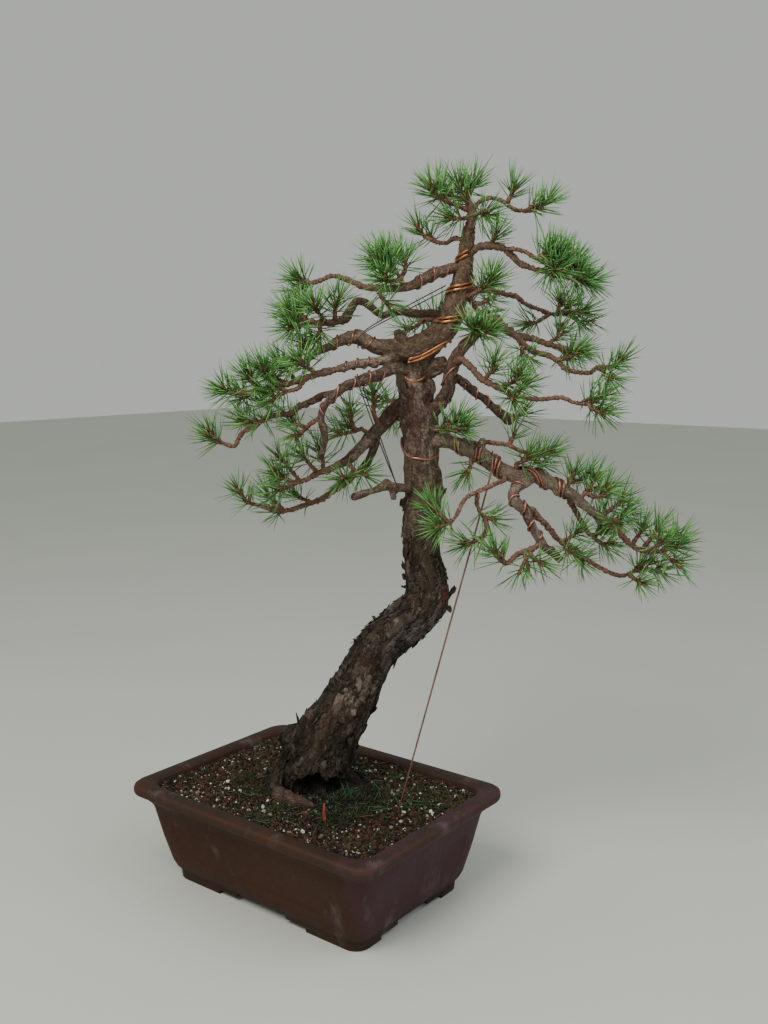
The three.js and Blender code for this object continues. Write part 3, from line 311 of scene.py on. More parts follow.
LIMBS = {
    "leader": [[123, 5, 654, 17], [130, 0, 684, 18], [146, -5, 701, 16], [163, -8, 716, 15],
      [173, -10, 742, 13.5], [182, -12, 775, 11.5], [186, -14, 808, 9.5], [188, -15, 828, 7.5]],
    "left_1": [[176, -12, 786, 7], [162, -18, 783, 7], [147, -26, 778, 6.5],
      [128, -34, 767, 6], [111, -38, 761, 5.5], [95, -34, 761, 5], [86, -30, 761, 4.5]],
    "left_2": [[144, -4, 698, 15], [124, -10, 691, 15], [108, -14, 689, 13],
      [92, -18, 691, 10], [74, -20, 695, 9], [56, -22, 703, 9], [43, -24, 702, 8], [32, -28, 698, 6.5],
      [21, -32, 692, 5.5], [11, -36, 688, 4.5]],
    "left_3": [[167, -8, 729, 6], [154, 4, 732, 5.5], [140, 12, 733, 5], [126, 18, 733, 5],
      [110, 22, 735, 4.5], [95, 24, 734, 5], [86, 24, 731, 5], [73, 22, 740, 5], [64, 18, 746, 5],
      [54, 12, 747, 5], [48, 4, 738, 5.5], [42, -8, 727, 5.5]],
    "left_4": [[110, -14, 686, 8], [99, -22, 681, 7], [87, -31, 677, 6.5], [73, -36, 675, 6],
      [56, -40, 673, 5.5], [38, -44, 668, 5]],
    "left_5": [[120, -4, 664, 8], [102, -22, 667, 7], [87, -42, 662, 6.5],
      [71, -54, 657, 6.5], [57, -62, 652, 6.5], [46, -66, 649, 6], [38, -68, 643, 5.5], [28, -69, 635, 5],
      [20, -68, 626, 4.5], [14, -66, 610, 4.5], [17, -64, 598, 5], [18, -62, 588, 4], [16, -60, 574, 4],
      [11, -57, 562, 3.5]],
    "left_5_side": [[33, -68, 640, 4.5], [17, -56, 637, 4.5], [5, -45, 630, 4.5],
      [-4, -38, 626, 4]],
    "left_6": [[121, 10, 628, 12], [108, 14, 620, 10], [94, 16, 606, 9.5], [81, 16, 591, 9],
      [67, 14, 577, 8.5], [53, 12, 563, 7.5], [41, 9, 552, 6], [32, 6, 548, 5]],
    "left_6_low": [[80, 16, 588, 6], [73, 22, 560, 5.5], [60, 32, 539, 5],
      [51, 34, 533, 4.5]],
    "neck_right": [[124, 7, 652, 14], [139, 4, 664, 12.5], [153, -4, 669, 11], [164, -9, 674, 7.5]],
    "right_4": [[135, 2, 606, 11], [149, -4, 617, 9.5], [159, -9, 629, 9], [166, -12, 643, 9],
      [168, -14, 659, 8], [172, -14, 672, 8], [178, -12, 684, 7.5], [187, -6, 695, 7], [200, 2, 709, 6.5],
      [214, 8, 722, 6], [224, 12, 725, 6], [234, 14, 715, 6], [248, 16, 707, 5]],
    "right_5_low": [[169, -12, 657, 6], [180, -6, 653, 6], [191, -2, 645, 6],
      [199, 2, 637, 5.5], [211, 6, 629, 5], [221, 10, 620, 5], [230, 12, 613, 5.5], [241, 14, 605, 6]],
    "right_6": [[134, 5, 574, 14], [152, -4, 579, 10.5], [166, -10, 579, 9.5],
      [184, -16, 573, 10], [202, -20, 565, 10], [219, -24, 553, 9.5], [235, -27, 542, 9.5],
      [253, -29, 539, 9], [269, -30, 539, 8.5], [286, -32, 531, 8.5], [301, -34, 525, 8],
      [313, -37, 517, 7.5], [325, -40, 508, 6.5], [338, -44, 497, 5]],
    "right_6_fall": [[270, -30, 538, 6.5], [257, -38, 531, 6.5], [246, -44, 524, 6.5],
      [242, -48, 515, 6.5], [249, -52, 506, 7], [258, -54, 500, 7], [260, -56, 491, 6.5], [264, -58, 482, 6],
      [273, -60, 467, 5.5], [279, -60, 457, 5.5], [289, -60, 450, 5.5], [300, -60, 439, 5]],
    "dead_stub": [[130, 2, 520, 6], [112, -18, 522, 5.5], [99, -22, 524, 5.5],
      [91, -24, 525, 6.5], [78, -26, 521, 4.5], [62, -28, 516, 4.5], [50, -29, 512, 4.5]],
    "dead_spur": [[98, -22, 522, 4.5], [100, -24, 508, 4]],
    "root_front": [[-34, 10, 160, 12], [-50, -6, 150, 10], [-52, -22, 138, 9.5],
      [-42, -36, 131, 9], [-24, -45, 129, 8.5], [-4, -51, 125, 6.5], [10, -55, 116, 5]],
    "root_left": [[-24, 22, 146, 20], [-60, 30, 127, 11], [-84, 38, 111, 6]],
    "root_back": [[-8, 34, 142, 20], [-4, 72, 127, 11], [4, 98, 110, 6]],
    "root_right": [[8, 22, 140, 18], [52, 14, 127, 10], [78, 8, 111, 6]],
    "root_back_left": [[-18, 30, 138, 18], [-48, 66, 126, 9], [-62, 86, 110, 6]],
}

# Round lumps on the wood, [middle, radius].
KNOBS = [
    [150, 0, 402, 13], [148, -12, 380, 14], [116, 4, 500, 9], [20, -12, 196, 16], [-22, -6, 178, 16],
    [-30, 18, 190, 18], [46, -6, 262, 14], [128, 4, 640, 22], [160, 0, 716, 9], [-42, -34, 134, 9.5],
    [-31, -41, 133, 9.5], [-18, -46, 130, 9],
]
LIMB_KNOBS = [
    [108, -17, 703, 7], [104, -17, 709, 5], [205, -24, 574, 6], [206, -27, 579, 5], [166, -8, 596, 7],
    [242, 12, 604, 7.5], [52, -29, 512.5, 5.2],
]
# Where a shoot was pruned and the pale wood shows, [middle, radius].
CUTS = [[247, 12, 605, 8.5], [166, -14, 597, 5], [204, -33, 578, 3.5]]
# Where bark has come away lately and what is under it is pale, or red; where the foot of the trunk is
# hollow, and how deep; and where painted shade makes it dark, [middle, radius].
PALE = [[48, -22, 252, 11], [57, -22, 280, 9], [82, -24, 332, 8], [96, -26, 356, 8], [157, -24, 393, 9],
        [20, -30, 190, 8]]
RED = [[166, -19, 390, 11]]
HOLLOWS = [[-15, -28, 136, 23], [5, -30, 139, 22], [27, -18, 135, 20]]
HOLLOW_DEPTH = 15
# Between which heights the old bark of the trunk gives way to young bark, how wide its plates are, and how
# far the pattern on each stem starts from that on the last, so that no two are alike.
BARK_AGES = (415, 585)
PLATE_SIZE, PATTERN_STEP = 14.5, 300
# Spots on the trunk painted dark as shade, [middle, radius].
SHADED_SPOTS = [[-44, 4, 196, 17], [-47, 0, 172, 20], [-46, -2, 146, 22], [108, -18, 330, 16], [124, -20, 350, 14]]
IN_PLACE = Matrix.Translation(POT_ORIGIN) @ Matrix.Rotation(TREE_TURN, 4, "Z") @ Matrix.Scale(0.001, 4)
rng = np.random.default_rng(7)


def smooth_path(points, step):
    """Points along the smooth curve through the given points, about a step apart, radius and all."""
    points = np.array(points, float)
    ends = [2 * points[0] - points[1], *points, 2 * points[-1] - points[-2]]
    rows = []
    for before, start, end, after in zip(ends, ends[1:], ends[2:], ends[3:]):
        gaps = [np.linalg.norm((b - a)[:3]) ** 0.5 for a, b in ((before, start), (start, end), (end, after))]
        pulls = []
        for (a, b, c), (g, h) in (((before, start, end), gaps[:2]), ((start, end, after), gaps[1:])):
            pulls.append(((b - a) / g - (c - a) / (g + h) + (c - b) / h) * gaps[1])
        count = max(2, round(np.linalg.norm((end - start)[:3]) / step))
        share = np.arange(count)[:, None] / count
        rows.append(
            start
            + share * pulls[0]
            + share**2 * (3 * (end - start) - 2 * pulls[0] - pulls[1])
            + share**3 * (2 * (start - end) + pulls[0] + pulls[1])
        )
        rows[-1][:, 3:] = start[3:] + share * (end - start)[3:]
    return np.vstack([*rows, points[-1:]])


def unit(vectors):
    return vectors / np.maximum(np.linalg.norm(vectors, axis=-1, keepdims=True), 1e-9)


def directions_along(path):
    """For each point of a path: the way along it, and two ways across it that turn as little as can be."""
    along = unit(np.gradient(path[:, :3], axis=0))
    side = np.cross(along[0], (0, 0, 1) if abs(along[0][2]) < 0.9 else (1, 0, 0))
    sides = []
    for way in along:
        side = unit(side - way * np.dot(side, way))
        sides.append(side)
    return along, np.array(sides), np.cross(along, sides)


def distances(path):
    """How far along a path each of its points is."""
    return np.r_[0, np.cumsum(np.linalg.norm(np.diff(path[:, :3], axis=0), axis=1))]


def tube(path, sides, radius=None):
    """Corners and faces of a closed round tube along a path, whose fourth column is its radius."""
    along, side, other = directions_along(path)
    turn = np.linspace(0, 2 * np.pi, sides, endpoint=False)
    out = side[:, None] * np.cos(turn)[:, None] + other[:, None] * np.sin(turn)[:, None]
    reach = path[:, 3] if radius is None else radius
    reach = reach[:, None, None] if reach.ndim == 1 else reach[..., None]
    corners = (path[:, None, :3] + out * reach).reshape(-1, 3)
    ring = np.arange(sides)
    after = (ring + 1) % sides
    faces = [
        (k * sides + a, k * sides + b, (k + 1) * sides + b, (k + 1) * sides + a)
        for k in range(len(path) - 1)
        for a, b in zip(ring, after)
    ]
    faces.append(tuple(ring[::-1]))
    faces.append(tuple(ring + (len(path) - 1) * sides))
    return corners, faces


def together(parts):
    """Corners and faces of several parts as one list each."""
    corners, faces, count = [], [], 0
    for part_corners, part_faces in parts:
        corners.append(part_corners)
        faces += [tuple(corner + count for corner in face) for face in part_faces]
        count += len(part_corners)
    return np.vstack(corners), faces


def new_piece(name, corners, faces, material, placed=IN_PLACE):
    """A smooth-shaded object of these corners and faces, put in its place in the frame."""
    mesh = bpy.data.meshes.new(name)
    mesh.from_pydata(corners, [], faces)
    mesh.transform(placed)
    mesh.polygons.foreach_set("use_smooth", np.ones(len(mesh.polygons), bool))
    mesh.materials.append(material)
    piece = bpy.data.objects.new(name, mesh)
    bpy.context.collection.objects.link(piece)
    return piece


def corners_of(piece):
    flat = np.empty(3 * len(piece.data.vertices), np.float32)
    piece.data.vertices.foreach_get("co", flat)
    return flat.reshape(-1, 3).astype(float)


def normals_of(piece):
    flat = np.empty(3 * len(piece.data.vertices), np.float32)
    piece.data.vertex_normals.foreach_get("vector", flat)
    return flat.reshape(-1, 3).astype(float)


def move_corners(piece, corners):
    piece.data.vertices.foreach_set("co", corners.astype(np.float32).ravel())
    piece.data.update()


def note(piece, name, values):
    """Keeps a value, or a vector, for each corner of a piece, for its material to read."""
    values = np.asarray(values, np.float32)
    kind, field = ("FLOAT_VECTOR", "vector") if values.ndim == 2 else ("FLOAT", "value")
    piece.data.attributes.new(name, kind, "POINT").data.foreach_set(field, values.ravel())


def ripples(points, size, seed, layers=3):
    """Smooth noise between about -1 and 1: waves about a size long, with layers of finer waves on them."""
    waves = np.random.default_rng(seed)
    height = np.zeros(len(points))
    for layer in range(layers):
        for _ in range(7):
            way = unit(waves.normal(size=3)) * waves.uniform(3.2, 6.0) / size * 2**layer
            height += np.sin(points @ way + waves.uniform(0, 6.3)) / 3.6 / 1.75**layer
    return height


def blend(value, low, high):
    """0 below low, 1 above high, and smooth between."""
    share = np.clip((value - low) / (high - low), 0, 1)
    return share * share * (3 - 2 * share)


def layers_of(height, edge=0.3):
    """A smooth height as thin flat layers with steep edges, and how near each point is to an edge."""
    share = height - np.floor(height)
    return np.floor(height) + blend(share, 1 - edge, 1), 1 - blend(np.minimum(share, 1 - share), 0, edge)


def cells_of(spots, size, seed):
    """Each spot's cell, of cells strewn about a size apart, how far it is from the edge, and the middle."""
    chance = np.random.default_rng(seed)
    low, high = spots.min(axis=0) - size, spots.max(axis=0) + size
    middles = chance.uniform(low, high, (round(np.prod((high - low) / size)), 3))
    tree = KDTree(len(middles))
    for k, middle in enumerate(middles):
        tree.insert(middle, k)
    tree.balance()
    found = [[near[1] for near in tree.find_n(spot, 2)] for spot in spots]
    cell, beside = np.array(found).T
    gaps = [np.sum((spots - middles[which]) ** 2, axis=1) for which in (cell, beside)]
    off_edge = (gaps[1] - gaps[0]) / (2 * np.linalg.norm(middles[beside] - middles[cell], axis=1))
    return cell, off_edge, middles[cell]


def nearness(points, spots, ways=None):
    """How near each point is to any of some [middle, radius] spots, drawn out along the given ways."""
    near = np.zeros(len(points))
    for x, y, z, radius in spots:
        gap = points - (x, y, z)
        drawn_out = 0 if ways is None else 0.8 * np.sum(gap * ways, axis=1) ** 2
        near = np.maximum(near, 1 - blend(np.sqrt(np.sum(gap**2, axis=1) - drawn_out) / radius, 0.35, 1))
    return near


def rough_wood(name, stems, knobs, voxel, bark):
    """One closed smooth piece of round stems and round knobs, grown together."""
    parts = [tube(path, 28 if path[0, 3] > 30 else 16) for path in stems.values()]
    bpy.ops.mesh.primitive_ico_sphere_add(subdivisions=3, radius=1)
    ball = bpy.context.object
    round_corners, round_faces = corners_of(ball), [tuple(face.vertices) for face in ball.data.polygons]
    bpy.data.objects.remove(ball)
    parts += [(round_corners * knob[3] + knob[:3], round_faces) for knob in knobs]
    wood = new_piece(name, *together(parts), bark, Matrix.Identity(4))
    apply_modifier(wood, "REMESH", mode="VOXEL", voxel_size=voxel)
    apply_modifier(wood, "SMOOTH", factor=0.5, iterations=3)
    return wood


def places_on(points, stems):
    """Each point's stem, the radius and the way along there, and its place across and along that stem."""
    middles = np.vstack(list(stems.values()))
    along, side, other = (np.vstack(ways) for ways in zip(*map(directions_along, stems.values())))
    run = np.concatenate([PATTERN_STEP * k + distances(path) for k, path in enumerate(stems.values())])
    number = []  # which middle each point is nearest to, found for some points at a time
    for chunk in np.array_split(points, len(points) // 3000 + 1):
        gap = np.linalg.norm(chunk[:, None] - middles[None, :, :3], axis=2) - middles[:, 3]
        number.append(gap.argmin(axis=1))
    number = np.concatenate(number)
    from_middle = points - middles[number, :3]
    place = np.stack([np.sum(from_middle * way[number], axis=1) for way in (side, other, along)], 1)
    place[:, 2] += run[number]
    stem_of = np.repeat(list(stems), [len(path) for path in stems.values()])[number]
    return stem_of, middles[number, 3], along[number], place


def shaken(points, size, seeds, layers):
    """How far smooth noise moves each point, in three directions."""
    return np.stack([ripples(points, size, seed, layers) for seed in seeds], 1)


def grow_wood(name, stem_names, knobs, voxel, bark):
    """A closed piece of wood with its bark, of the named stems and round knobs, and what is known of it."""
    stems = {stem: smooth_path(TRUNK if stem == "trunk" else LIMBS[stem], 3) for stem in stem_names}
    wood = rough_wood(name, stems, knobs, voxel, bark)
    points = corners_of(wood)
    stem_of, thick, ways, place = places_on(points, stems)
    height = points[:, 2]

    # Which points are on the bare front root, and how old the bark is elsewhere.
    front_root = smooth_path(LIMBS["root_front"][3:], 6)
    off_root = np.min([np.linalg.norm(points - spot[:3], axis=1) - spot[3] for spot in front_root], axis=0)
    root = 1 - blend(off_root, 1, 7)
    old = np.zeros(len(points))
    if name == "trunk_wood":
        old = (1 - blend(height + 26 * ripples(points, 60, 31, 1), *BARK_AGES)) * (1 - root)

    # The relief: tilted plates in layers with fissures between them on old bark, small scales and wrinkles on
    # young bark, and the swellings of the wood under both.
    layer, edge = layers_of(1.5 * ripples(place / (1, 1, 2.3), 44, 41, 2))
    scale, scale_edge = layers_of(2.4 * ripples(place / (1, 1, 1.5), 13, 42, 3))
    wrinkle = ripples(place / (1, 1, 5), 7, 44, 3)
    ragged = place / (1, 1, 3) + 1.8 * shaken(points, 8, (48, 49, 50), 3)
    cell, off_edge, middle = cells_of(ragged, PLATE_SIZE, 51)
    chance = np.random.default_rng(52)
    tilt, level, tone = (chance.uniform(-1, 1, (cell.max() + 1, k)) for k in (3, 1, 1))
    shingle = 0.85 * level[cell, 0] + 0.09 * np.sum(tilt[cell] * (ragged - middle), axis=1)
    fissure = (1 - blend(off_edge, 0.2, 1.9)) * np.clip(0.7 + 0.8 * ripples(points, 26, 53, 1), 0.1, 1)
    relief = old * (0.9 * layer + shingle - 1.5 * fissure + 0.2 * scale + 0.3 * wrinkle)
    relief += (1 - old) * np.clip(0.028 * thick, 0.16, 0.5) * (scale - 0.8 * scale_edge + 1.3 * wrinkle)
    relief += ripples(points, 40, 45, 2) * np.clip(0.06 * thick, 0.25, 1.6)
    relief += (1 - old) * ripples(points, 15, 46, 2) * np.clip(0.07 * thick, 0.3, 0.9)
    shift = points + 4 * shaken(points, 12, (54, 55, 56), 2)
    hollow = nearness(shift, HOLLOWS) * (1 - root)
    move_corners(wood, points + normals_of(wood) * (relief - HOLLOW_DEPTH * hollow)[:, None])

    # What the bark's colours go by.
    tint = old * (0.5 + 0.5 * tone[cell, 0]) + (1 - old) * (0.5 + 0.16 * scale)
    plate = np.clip(tint + 0.6 * nearness(shift, PALE, ways), 0, 1)
    # Painted shade: darker low down by the soil, on the shaded spots and, near black, in the hollow. The
    # darkening is that shade, less of it on the bare front root, which is darkened a little all over.
    low_down = 0.8 * (1 - blend(height + 12 * ripples(points, 20, 47, 2), 126, 152))
    painted_shade = np.maximum.reduce([low_down, 0.75 * nearness(shift, SHADED_SPOTS), np.minimum(2 * hollow, 1)])
    darkening = np.maximum(painted_shade * (1 - 0.35 * root), 0.38 * root)
    grey = np.isin(stem_of, ("right_6", "right_6_fall")) + 0.3 * np.isin(stem_of, ("dead_stub", "dead_spur"))
    grey = np.maximum(grey * blend(ripples(points, 30, 57, 2), -1, 0.2), 0.2 * root)
    note(wood, "bark_place", place / 1000)
    note(wood, "crack_and_underside_shade", np.clip(old * (0.35 * edge + fissure) + (1 - old) * 0.35 * scale_edge, 0, 1))
    note(wood, "plate", plate)
    note(wood, "old_bark", old)
    note(wood, "cut", nearness(points, CUTS))
    note(wood, "red", nearness(shift, RED, ways))
    note(wood, "darkening", darkening)
    note(wood, "grey", grey)
    known = {"points": corners_of(wood), "normals": normals_of(wood), "along": ways, "place": place}
    known |= {"bare": np.maximum(root, hollow), "plate": plate, "darkening": darkening}
    faces = [tuple(face.vertices) for face in wood.data.polygons]
    known["surface"] = BVHTree.FromPolygons(known["points"].tolist(), faces)
    wood.data.transform(IN_PLACE)
    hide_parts("wood")
    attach(wood, "root")
    return known


def knots_along(points):
    """Lumps of old pruned shoots and wire scars, all along a limb."""
    path = smooth_path(points, 2)
    _, side, other = directions_along(path)
    knots = []
    for k in np.arange(8, len(path) - 3, rng.integers(7, 11)):
        turn, radius = rng.uniform(0, 6.3), path[k, 3]
        out = side[k] * math.cos(turn) + other[k] * math.sin(turn)
        middle = path[k, :3] + out * radius * rng.uniform(0.42, 0.78)
        knots.append([*middle, radius * rng.uniform(0.5, 0.76)])
    return knots


def noted(add, *names):
    """What was noted for each corner of a piece under these names."""
    return [add("Attribute", attribute_name=name).outputs["Fac"] for name in names]


def bark_finish():
    bark, shader, add = start_material("pine_bark", Specular_IOR_Level=0.25)
    place = add("Attribute", attribute_name="bark_place").outputs["Vector"]
    plate, crack_and_underside_shade, old_bark, cut, darkening, red, grey = noted(
        add, "plate", "crack_and_underside_shade", "old_bark", "cut", "darkening", "red", "grey"
    )
    warp = add("TexNoise", {"Vector": place, "Scale": 120, "Detail": 6, "Roughness": 0.65}).outputs["Color"]
    inputs = {0: warp, 1: (0.011, 0.011, 0.022), 2: place}
    ragged = add("VectorMath", inputs, operation="MULTIPLY_ADD").outputs[0]

    def plates_of(size, stretch):
        """Ragged plates: a tint from 0 to 1 for each, and how far a point is from its plate's edge."""
        spot = add("Mapping", {"Vector": ragged, "Scale": (1, 1, stretch)}).outputs[0]
        cell = add("TexVoronoi", {"Vector": spot, "Scale": 1 / size}).outputs["Color"]
        edge = add("TexVoronoi", {"Vector": spot, "Scale": 1 / size}, feature="DISTANCE_TO_EDGE")
        return add("SeparateColor", {0: cell}).outputs[0], edge.outputs["Distance"]

    tint, edge = plates_of(0.017, 0.36)
    small_tint, small_edge = plates_of(0.0045, 0.75)
    old_streak = noise(add, place, 0.005, 8, 0.72, (1, 1, 0.8))
    streak = mixed(add, old_bark, old_streak, noise(add, place, 0.006, 8, 0.7, (1, 1, 0.28)))
    flake = noise(add, place, 0.003, 5, 0.7, (1, 1, 0.7))
    cloud = noise(add, place, 0.04, 3, 0.55, (1, 1, 0.6))
    shed = noise(add, ragged, 0.04, 4, 0.6, (1, 1, 0.35))
    # Old bark: dark to pale plates with black between them, some reddish, and some with their outside shed.
    old = mixed(add, between(add, plate, 0.1, 0.22), paint(44, 36, 27), paint(65, 55, 44))
    old = washed(add, old, plate, 0.5, 0.6, 1, paint(80, 71, 60))
    old = washed(add, old, plate, 0.82, 0.94, 1, paint(118, 104, 94))
    old = washed(add, old, tint, 0.75, 0.9, 0.45, paint(98, 89, 90))
    old = washed(add, old, tint, 0.28, 0.18, 0.5, paint(52, 44, 32))
    old = washed(add, old, cloud, 0.5, 0.4, 0.5, paint(70, 47, 38))
    old = washed(add, old, shed, 0.6, 0.64, 0.4, paint(126, 110, 100))
    old = washed(add, old, edge, 0.05, 0.0, 0.6, paint(27, 20, 17))
    # Young bark: brown scales with olive and red patches, paler where they are shed, and warmer high up.
    young = mixed(add, between(add, small_tint, 0.2, 0.8), paint(80, 62, 54), paint(119, 97, 86))
    young = washed(add, young, cloud, 0.51, 0.58, 0.55, paint(108, 97, 70))
    young = washed(add, young, cloud, 0.47, 0.4, 0.6, paint(86, 58, 50))
    young = washed(add, young, shed, 0.55, 0.61, 0.6, paint(158, 140, 126))
    young = washed(add, young, small_edge, 0.09, 0.0, 0.6, paint(48, 35, 29))
    height = add("SeparateXYZ", {0: object_place(add)}).outputs["Z"]
    young = washed(add, young, height, 0.64, 0.72, 0.3, paint(132, 106, 84))
    # Over both: algae, weathered grey, pale and dark streaks, cracks, red spots, painted shade low down and
    # in the hollow, and cut wood.
    colour = mixed(add, old_bark, young, old)
    colour = washed(add, colour, cloud, 0.57, 0.68, 0.4, paint(72, 66, 42))
    colour = tinged(add, colour, grey, 0.55, paint(140, 125, 110))
    colour = washed(add, colour, streak, 0.56, 0.74, 0.45, paint(156, 140, 130))
    colour = washed(add, colour, streak, 0.47, 0.33, 0.55, paint(42, 32, 27))
    colour = washed(add, colour, flake, 0.46, 0.34, 0.35, paint(38, 28, 24))
    # Dark in the cracks of the bark, and painted shade under the flakes.
    colour = washed(add, colour, crack_and_underside_shade, 0.3, 1.0, 0.7, paint(32, 23, 19))
    colour = tinged(add, colour, red, 0.75, paint(118, 50, 42))
    # Near black where the darkening says: painted shade low on the trunk, on the shaded spots and in the
    # hollow.
    colour = mixed(add, darkening, colour, paint(24, 21, 14))
    bare_wood = mixed(add, between(add, flake, 0.4, 0.6), paint(150, 96, 58), paint(204, 158, 112))
    colour = mixed(add, cut, colour, bare_wood)
    feed(shader, "Base Color", colour)
    feed(shader, "Roughness", between(add, streak, 0.3, 0.7, 0.92, 0.75))
    rise = worked_out(add, "MULTIPLY", between(add, edge, 0.0, 0.1), old_bark)
    small_rise = between(add, small_edge, 0.0, 0.14)
    bumped(add, shader, (rise, 0.0016), (small_rise, 0.0006), (streak, 0.0014), (flake, 0.0009))
    return bark


bark = bark_finish()
ROOTED = ["trunk", "leader", *(stem for stem in LIMBS if stem.startswith("root"))]
BRANCHES = [stem for stem in LIMBS if stem not in ROOTED]
trunk_wood = grow_wood("trunk_wood", ROOTED, KNOBS, TRUNK_VOXEL, bark)
limb_knots = [knot for stem in BRANCHES for knot in knots_along(LIMBS[stem])]
limb_wood = grow_wood("limb_wood", BRANCHES, LIMB_KNOBS + limb_knots, LIMB_VOXEL, bark)

# The bark flakes: thin curled plates of old bark on the lower trunk. They are dead and dry, still held at
# one end, and lift at the other as the trunk sheds them.

FLAKES, FLAKE_SIDES = 620, 10
# The ones that stand off furthest, [where on the trunk, which way it points, length, width].
STANDING = [
    [[171, -8, 381], [0.45, -0.15, 0.9], 26, 8], [[169, -10, 372], [0.3, -0.3, -0.9], 12, 9],
    [[110, -5, 432], [-0.2, 0, 0.95], 22, 7], [[111, -5, 416], [-0.35, 0, 0.9], 17, 6],
    [[113, -6, 404], [-0.5, 0, 0.8], 13, 6], [[116, -8, 394], [-0.9, -0.1, 0.4], 13, 4],
    [[118, -8, 391], [-0.6, -0.1, 0.8], 12, 3], [[106, -10, 308], [0.8, 0, 0.55], 15, 5],
    [[112, -10, 318], [0.85, 0, 0.5], 18, 6], [[163, -6, 508], [0.4, 0, 0.9], 15, 5],
    [[161, -4, 522], [0.3, 0, -0.9], 12, 5], [[-19, -4, 212], [-0.2, -0.1, 1], 30, 4],
    [[-14, -4, 216], [0.25, -0.1, 1], 18, 3], [[60, -6, 322], [-0.5, 0, 0.85], 13, 5],
    [[34, -6, 268], [-0.4, 0, 0.9], 13, 5], [[84, -6, 344], [-0.6, 0, 0.8], 11, 5],
]


def flake_shape(length, width, curl, lift):
    """Corners and faces of one flake, with X across it, Y along it and Z away from the trunk."""
    n = FLAKE_SIDES
    turn = np.linspace(0, 2 * np.pi, n, endpoint=False) + rng.uniform(0, 0.5)
    reach = rng.uniform(0.5, 1.15, n)
    outline = np.stack([0.5 * width * reach * np.sin(turn), 0.5 * length * reach * np.cos(turn)], 1)
    plan = np.vstack([outline, outline * 0.5, [[0, 0]]])
    height = curl * (plan[:, 1] / length * 2) ** 2 + lift * (plan[:, 1] / length + 0.5) ** 2
    height -= (plan[:, 0] / width * 2) ** 2 * 0.04 * width
    thick = np.r_[np.full(n, 0.3), np.full(n, 0.5), 0.5]
    top = np.column_stack([plan, height + thick])
    under = np.column_stack([plan, height - 0.5 * thick])
    low = len(top)
    faces = []
    for a, b in zip(range(n), np.roll(range(n), -1)):
        faces += [(b, a, n + a, n + b), (n + b, n + a, 2 * n), (low + a, low + b, low + n + b, low + n + a)]
        faces += [(low + n + a, low + n + b, low + 2 * n), (a, b, low + b, low + a)]
    return np.vstack([top, under]), faces


def build_flakes(bark):
    points, normals = trunk_wood["points"], trunk_wood["normals"]
    height = points[:, 2]
    # They get fewer higher up the trunk, and none are on the bare root or in the hollow.
    chance = np.interp(height, (126, 130, 300, 420, 540, 610), (0, 1, 1, 1, 0.6, 0))
    chance *= trunk_wood["bare"] < 0.1
    seats = rng.choice(len(points), FLAKES, replace=False, p=chance / chance.sum())
    seats = np.r_[seats, [np.argmin(np.linalg.norm(points - place, axis=1)) for place, *_ in STANDING]]
    parts, places = [], []
    for k, seat in enumerate(seats):
        out, up = normals[seat], trunk_wood["along"][seat]
        scale = np.interp(height[seat], (130, 420, 600), (1.1, 0.85, 0.5))
        if k < FLAKES:
            length, width = rng.uniform(10, 30) * scale, rng.uniform(5, 12) * scale
            lift = rng.uniform(0.1, 1.5) ** 2 * scale
            along = unit(up - out * np.dot(up, out))
            along = unit(along + 0.3 * rng.normal() * np.cross(out, along)) * rng.choice((-1, 1))
        else:
            _, way, length, width = STANDING[k - FLAKES]
            lift, along = 0.15 * length, unit(np.array(way))
            out = unit(np.array((0.1, -1, 0.1)) - along * np.dot((0.1, -1, 0.1), along))
        corners, faces = flake_shape(length, width, rng.uniform(0, 0.5), lift)
        turned = np.stack([np.cross(along, out), along, out])
        foot = points[seat] - out * 0.1 if k < FLAKES else points[seat] + along * 0.36 * length
        parts.append((corners @ turned + foot, faces))
        places.append(corners + trunk_wood["place"][seat] + rng.uniform(0, 40, 3))
    flakes = new_piece("bark_flakes", *together(parts), bark)
    count = len(places[0])
    # The undersides of the flakes are painted darker, as shade, through the crack colour.
    crack_and_underside_shade = np.r_[np.full(FLAKE_SIDES, 0.3), np.zeros(FLAKE_SIDES + 1), np.full(2 * FLAKE_SIDES + 1, 0.7)]
    tint = np.clip(trunk_wood["plate"][seats] + rng.normal(-0.1, 0.15, len(seats)), 0, 1)
    note(flakes, "bark_place", np.vstack(places) / 1000)
    note(flakes, "crack_and_underside_shade", np.tile(crack_and_underside_shade, len(seats)))
    note(flakes, "plate", np.repeat(tint, count))
    note(flakes, "old_bark", np.repeat(1 - blend(height[seats], 400, 560), count))
    # Each flake takes the painted shade of the trunk where it sits.
    note(flakes, "darkening", np.repeat(trunk_wood["darkening"][seats], count))
    for absent in ("cut", "red", "grey"):
        note(flakes, absent, np.zeros(count * len(seats)))
    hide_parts("wood")
    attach(flakes, "root")


build_flakes(bark)

# The branchlets: knobbly twigs rough with the scars of old needles, their young shoots set all round with
# paired needles, and a resinous bud at each end. They grow from the limbs, and are wired into place.

NEEDLE_LENGTH, NEEDLE_RADIUS, NEEDLE_CORNERS = 35, 0.66, 7
# The two rings of three corners on a needle: how far along it, and how thick there. The last is its tip.
NEEDLE_RINGS = [(0, 0.8), (0.55, 1.0)]
# How far in degrees a needle leans out at the tip of a shoot, and how much more at its foot.
TIP_LEAN, FOOT_LEAN = 14, 62
SHOOT_LENGTH, SIDE_SHOOT_LENGTH = 19, 11
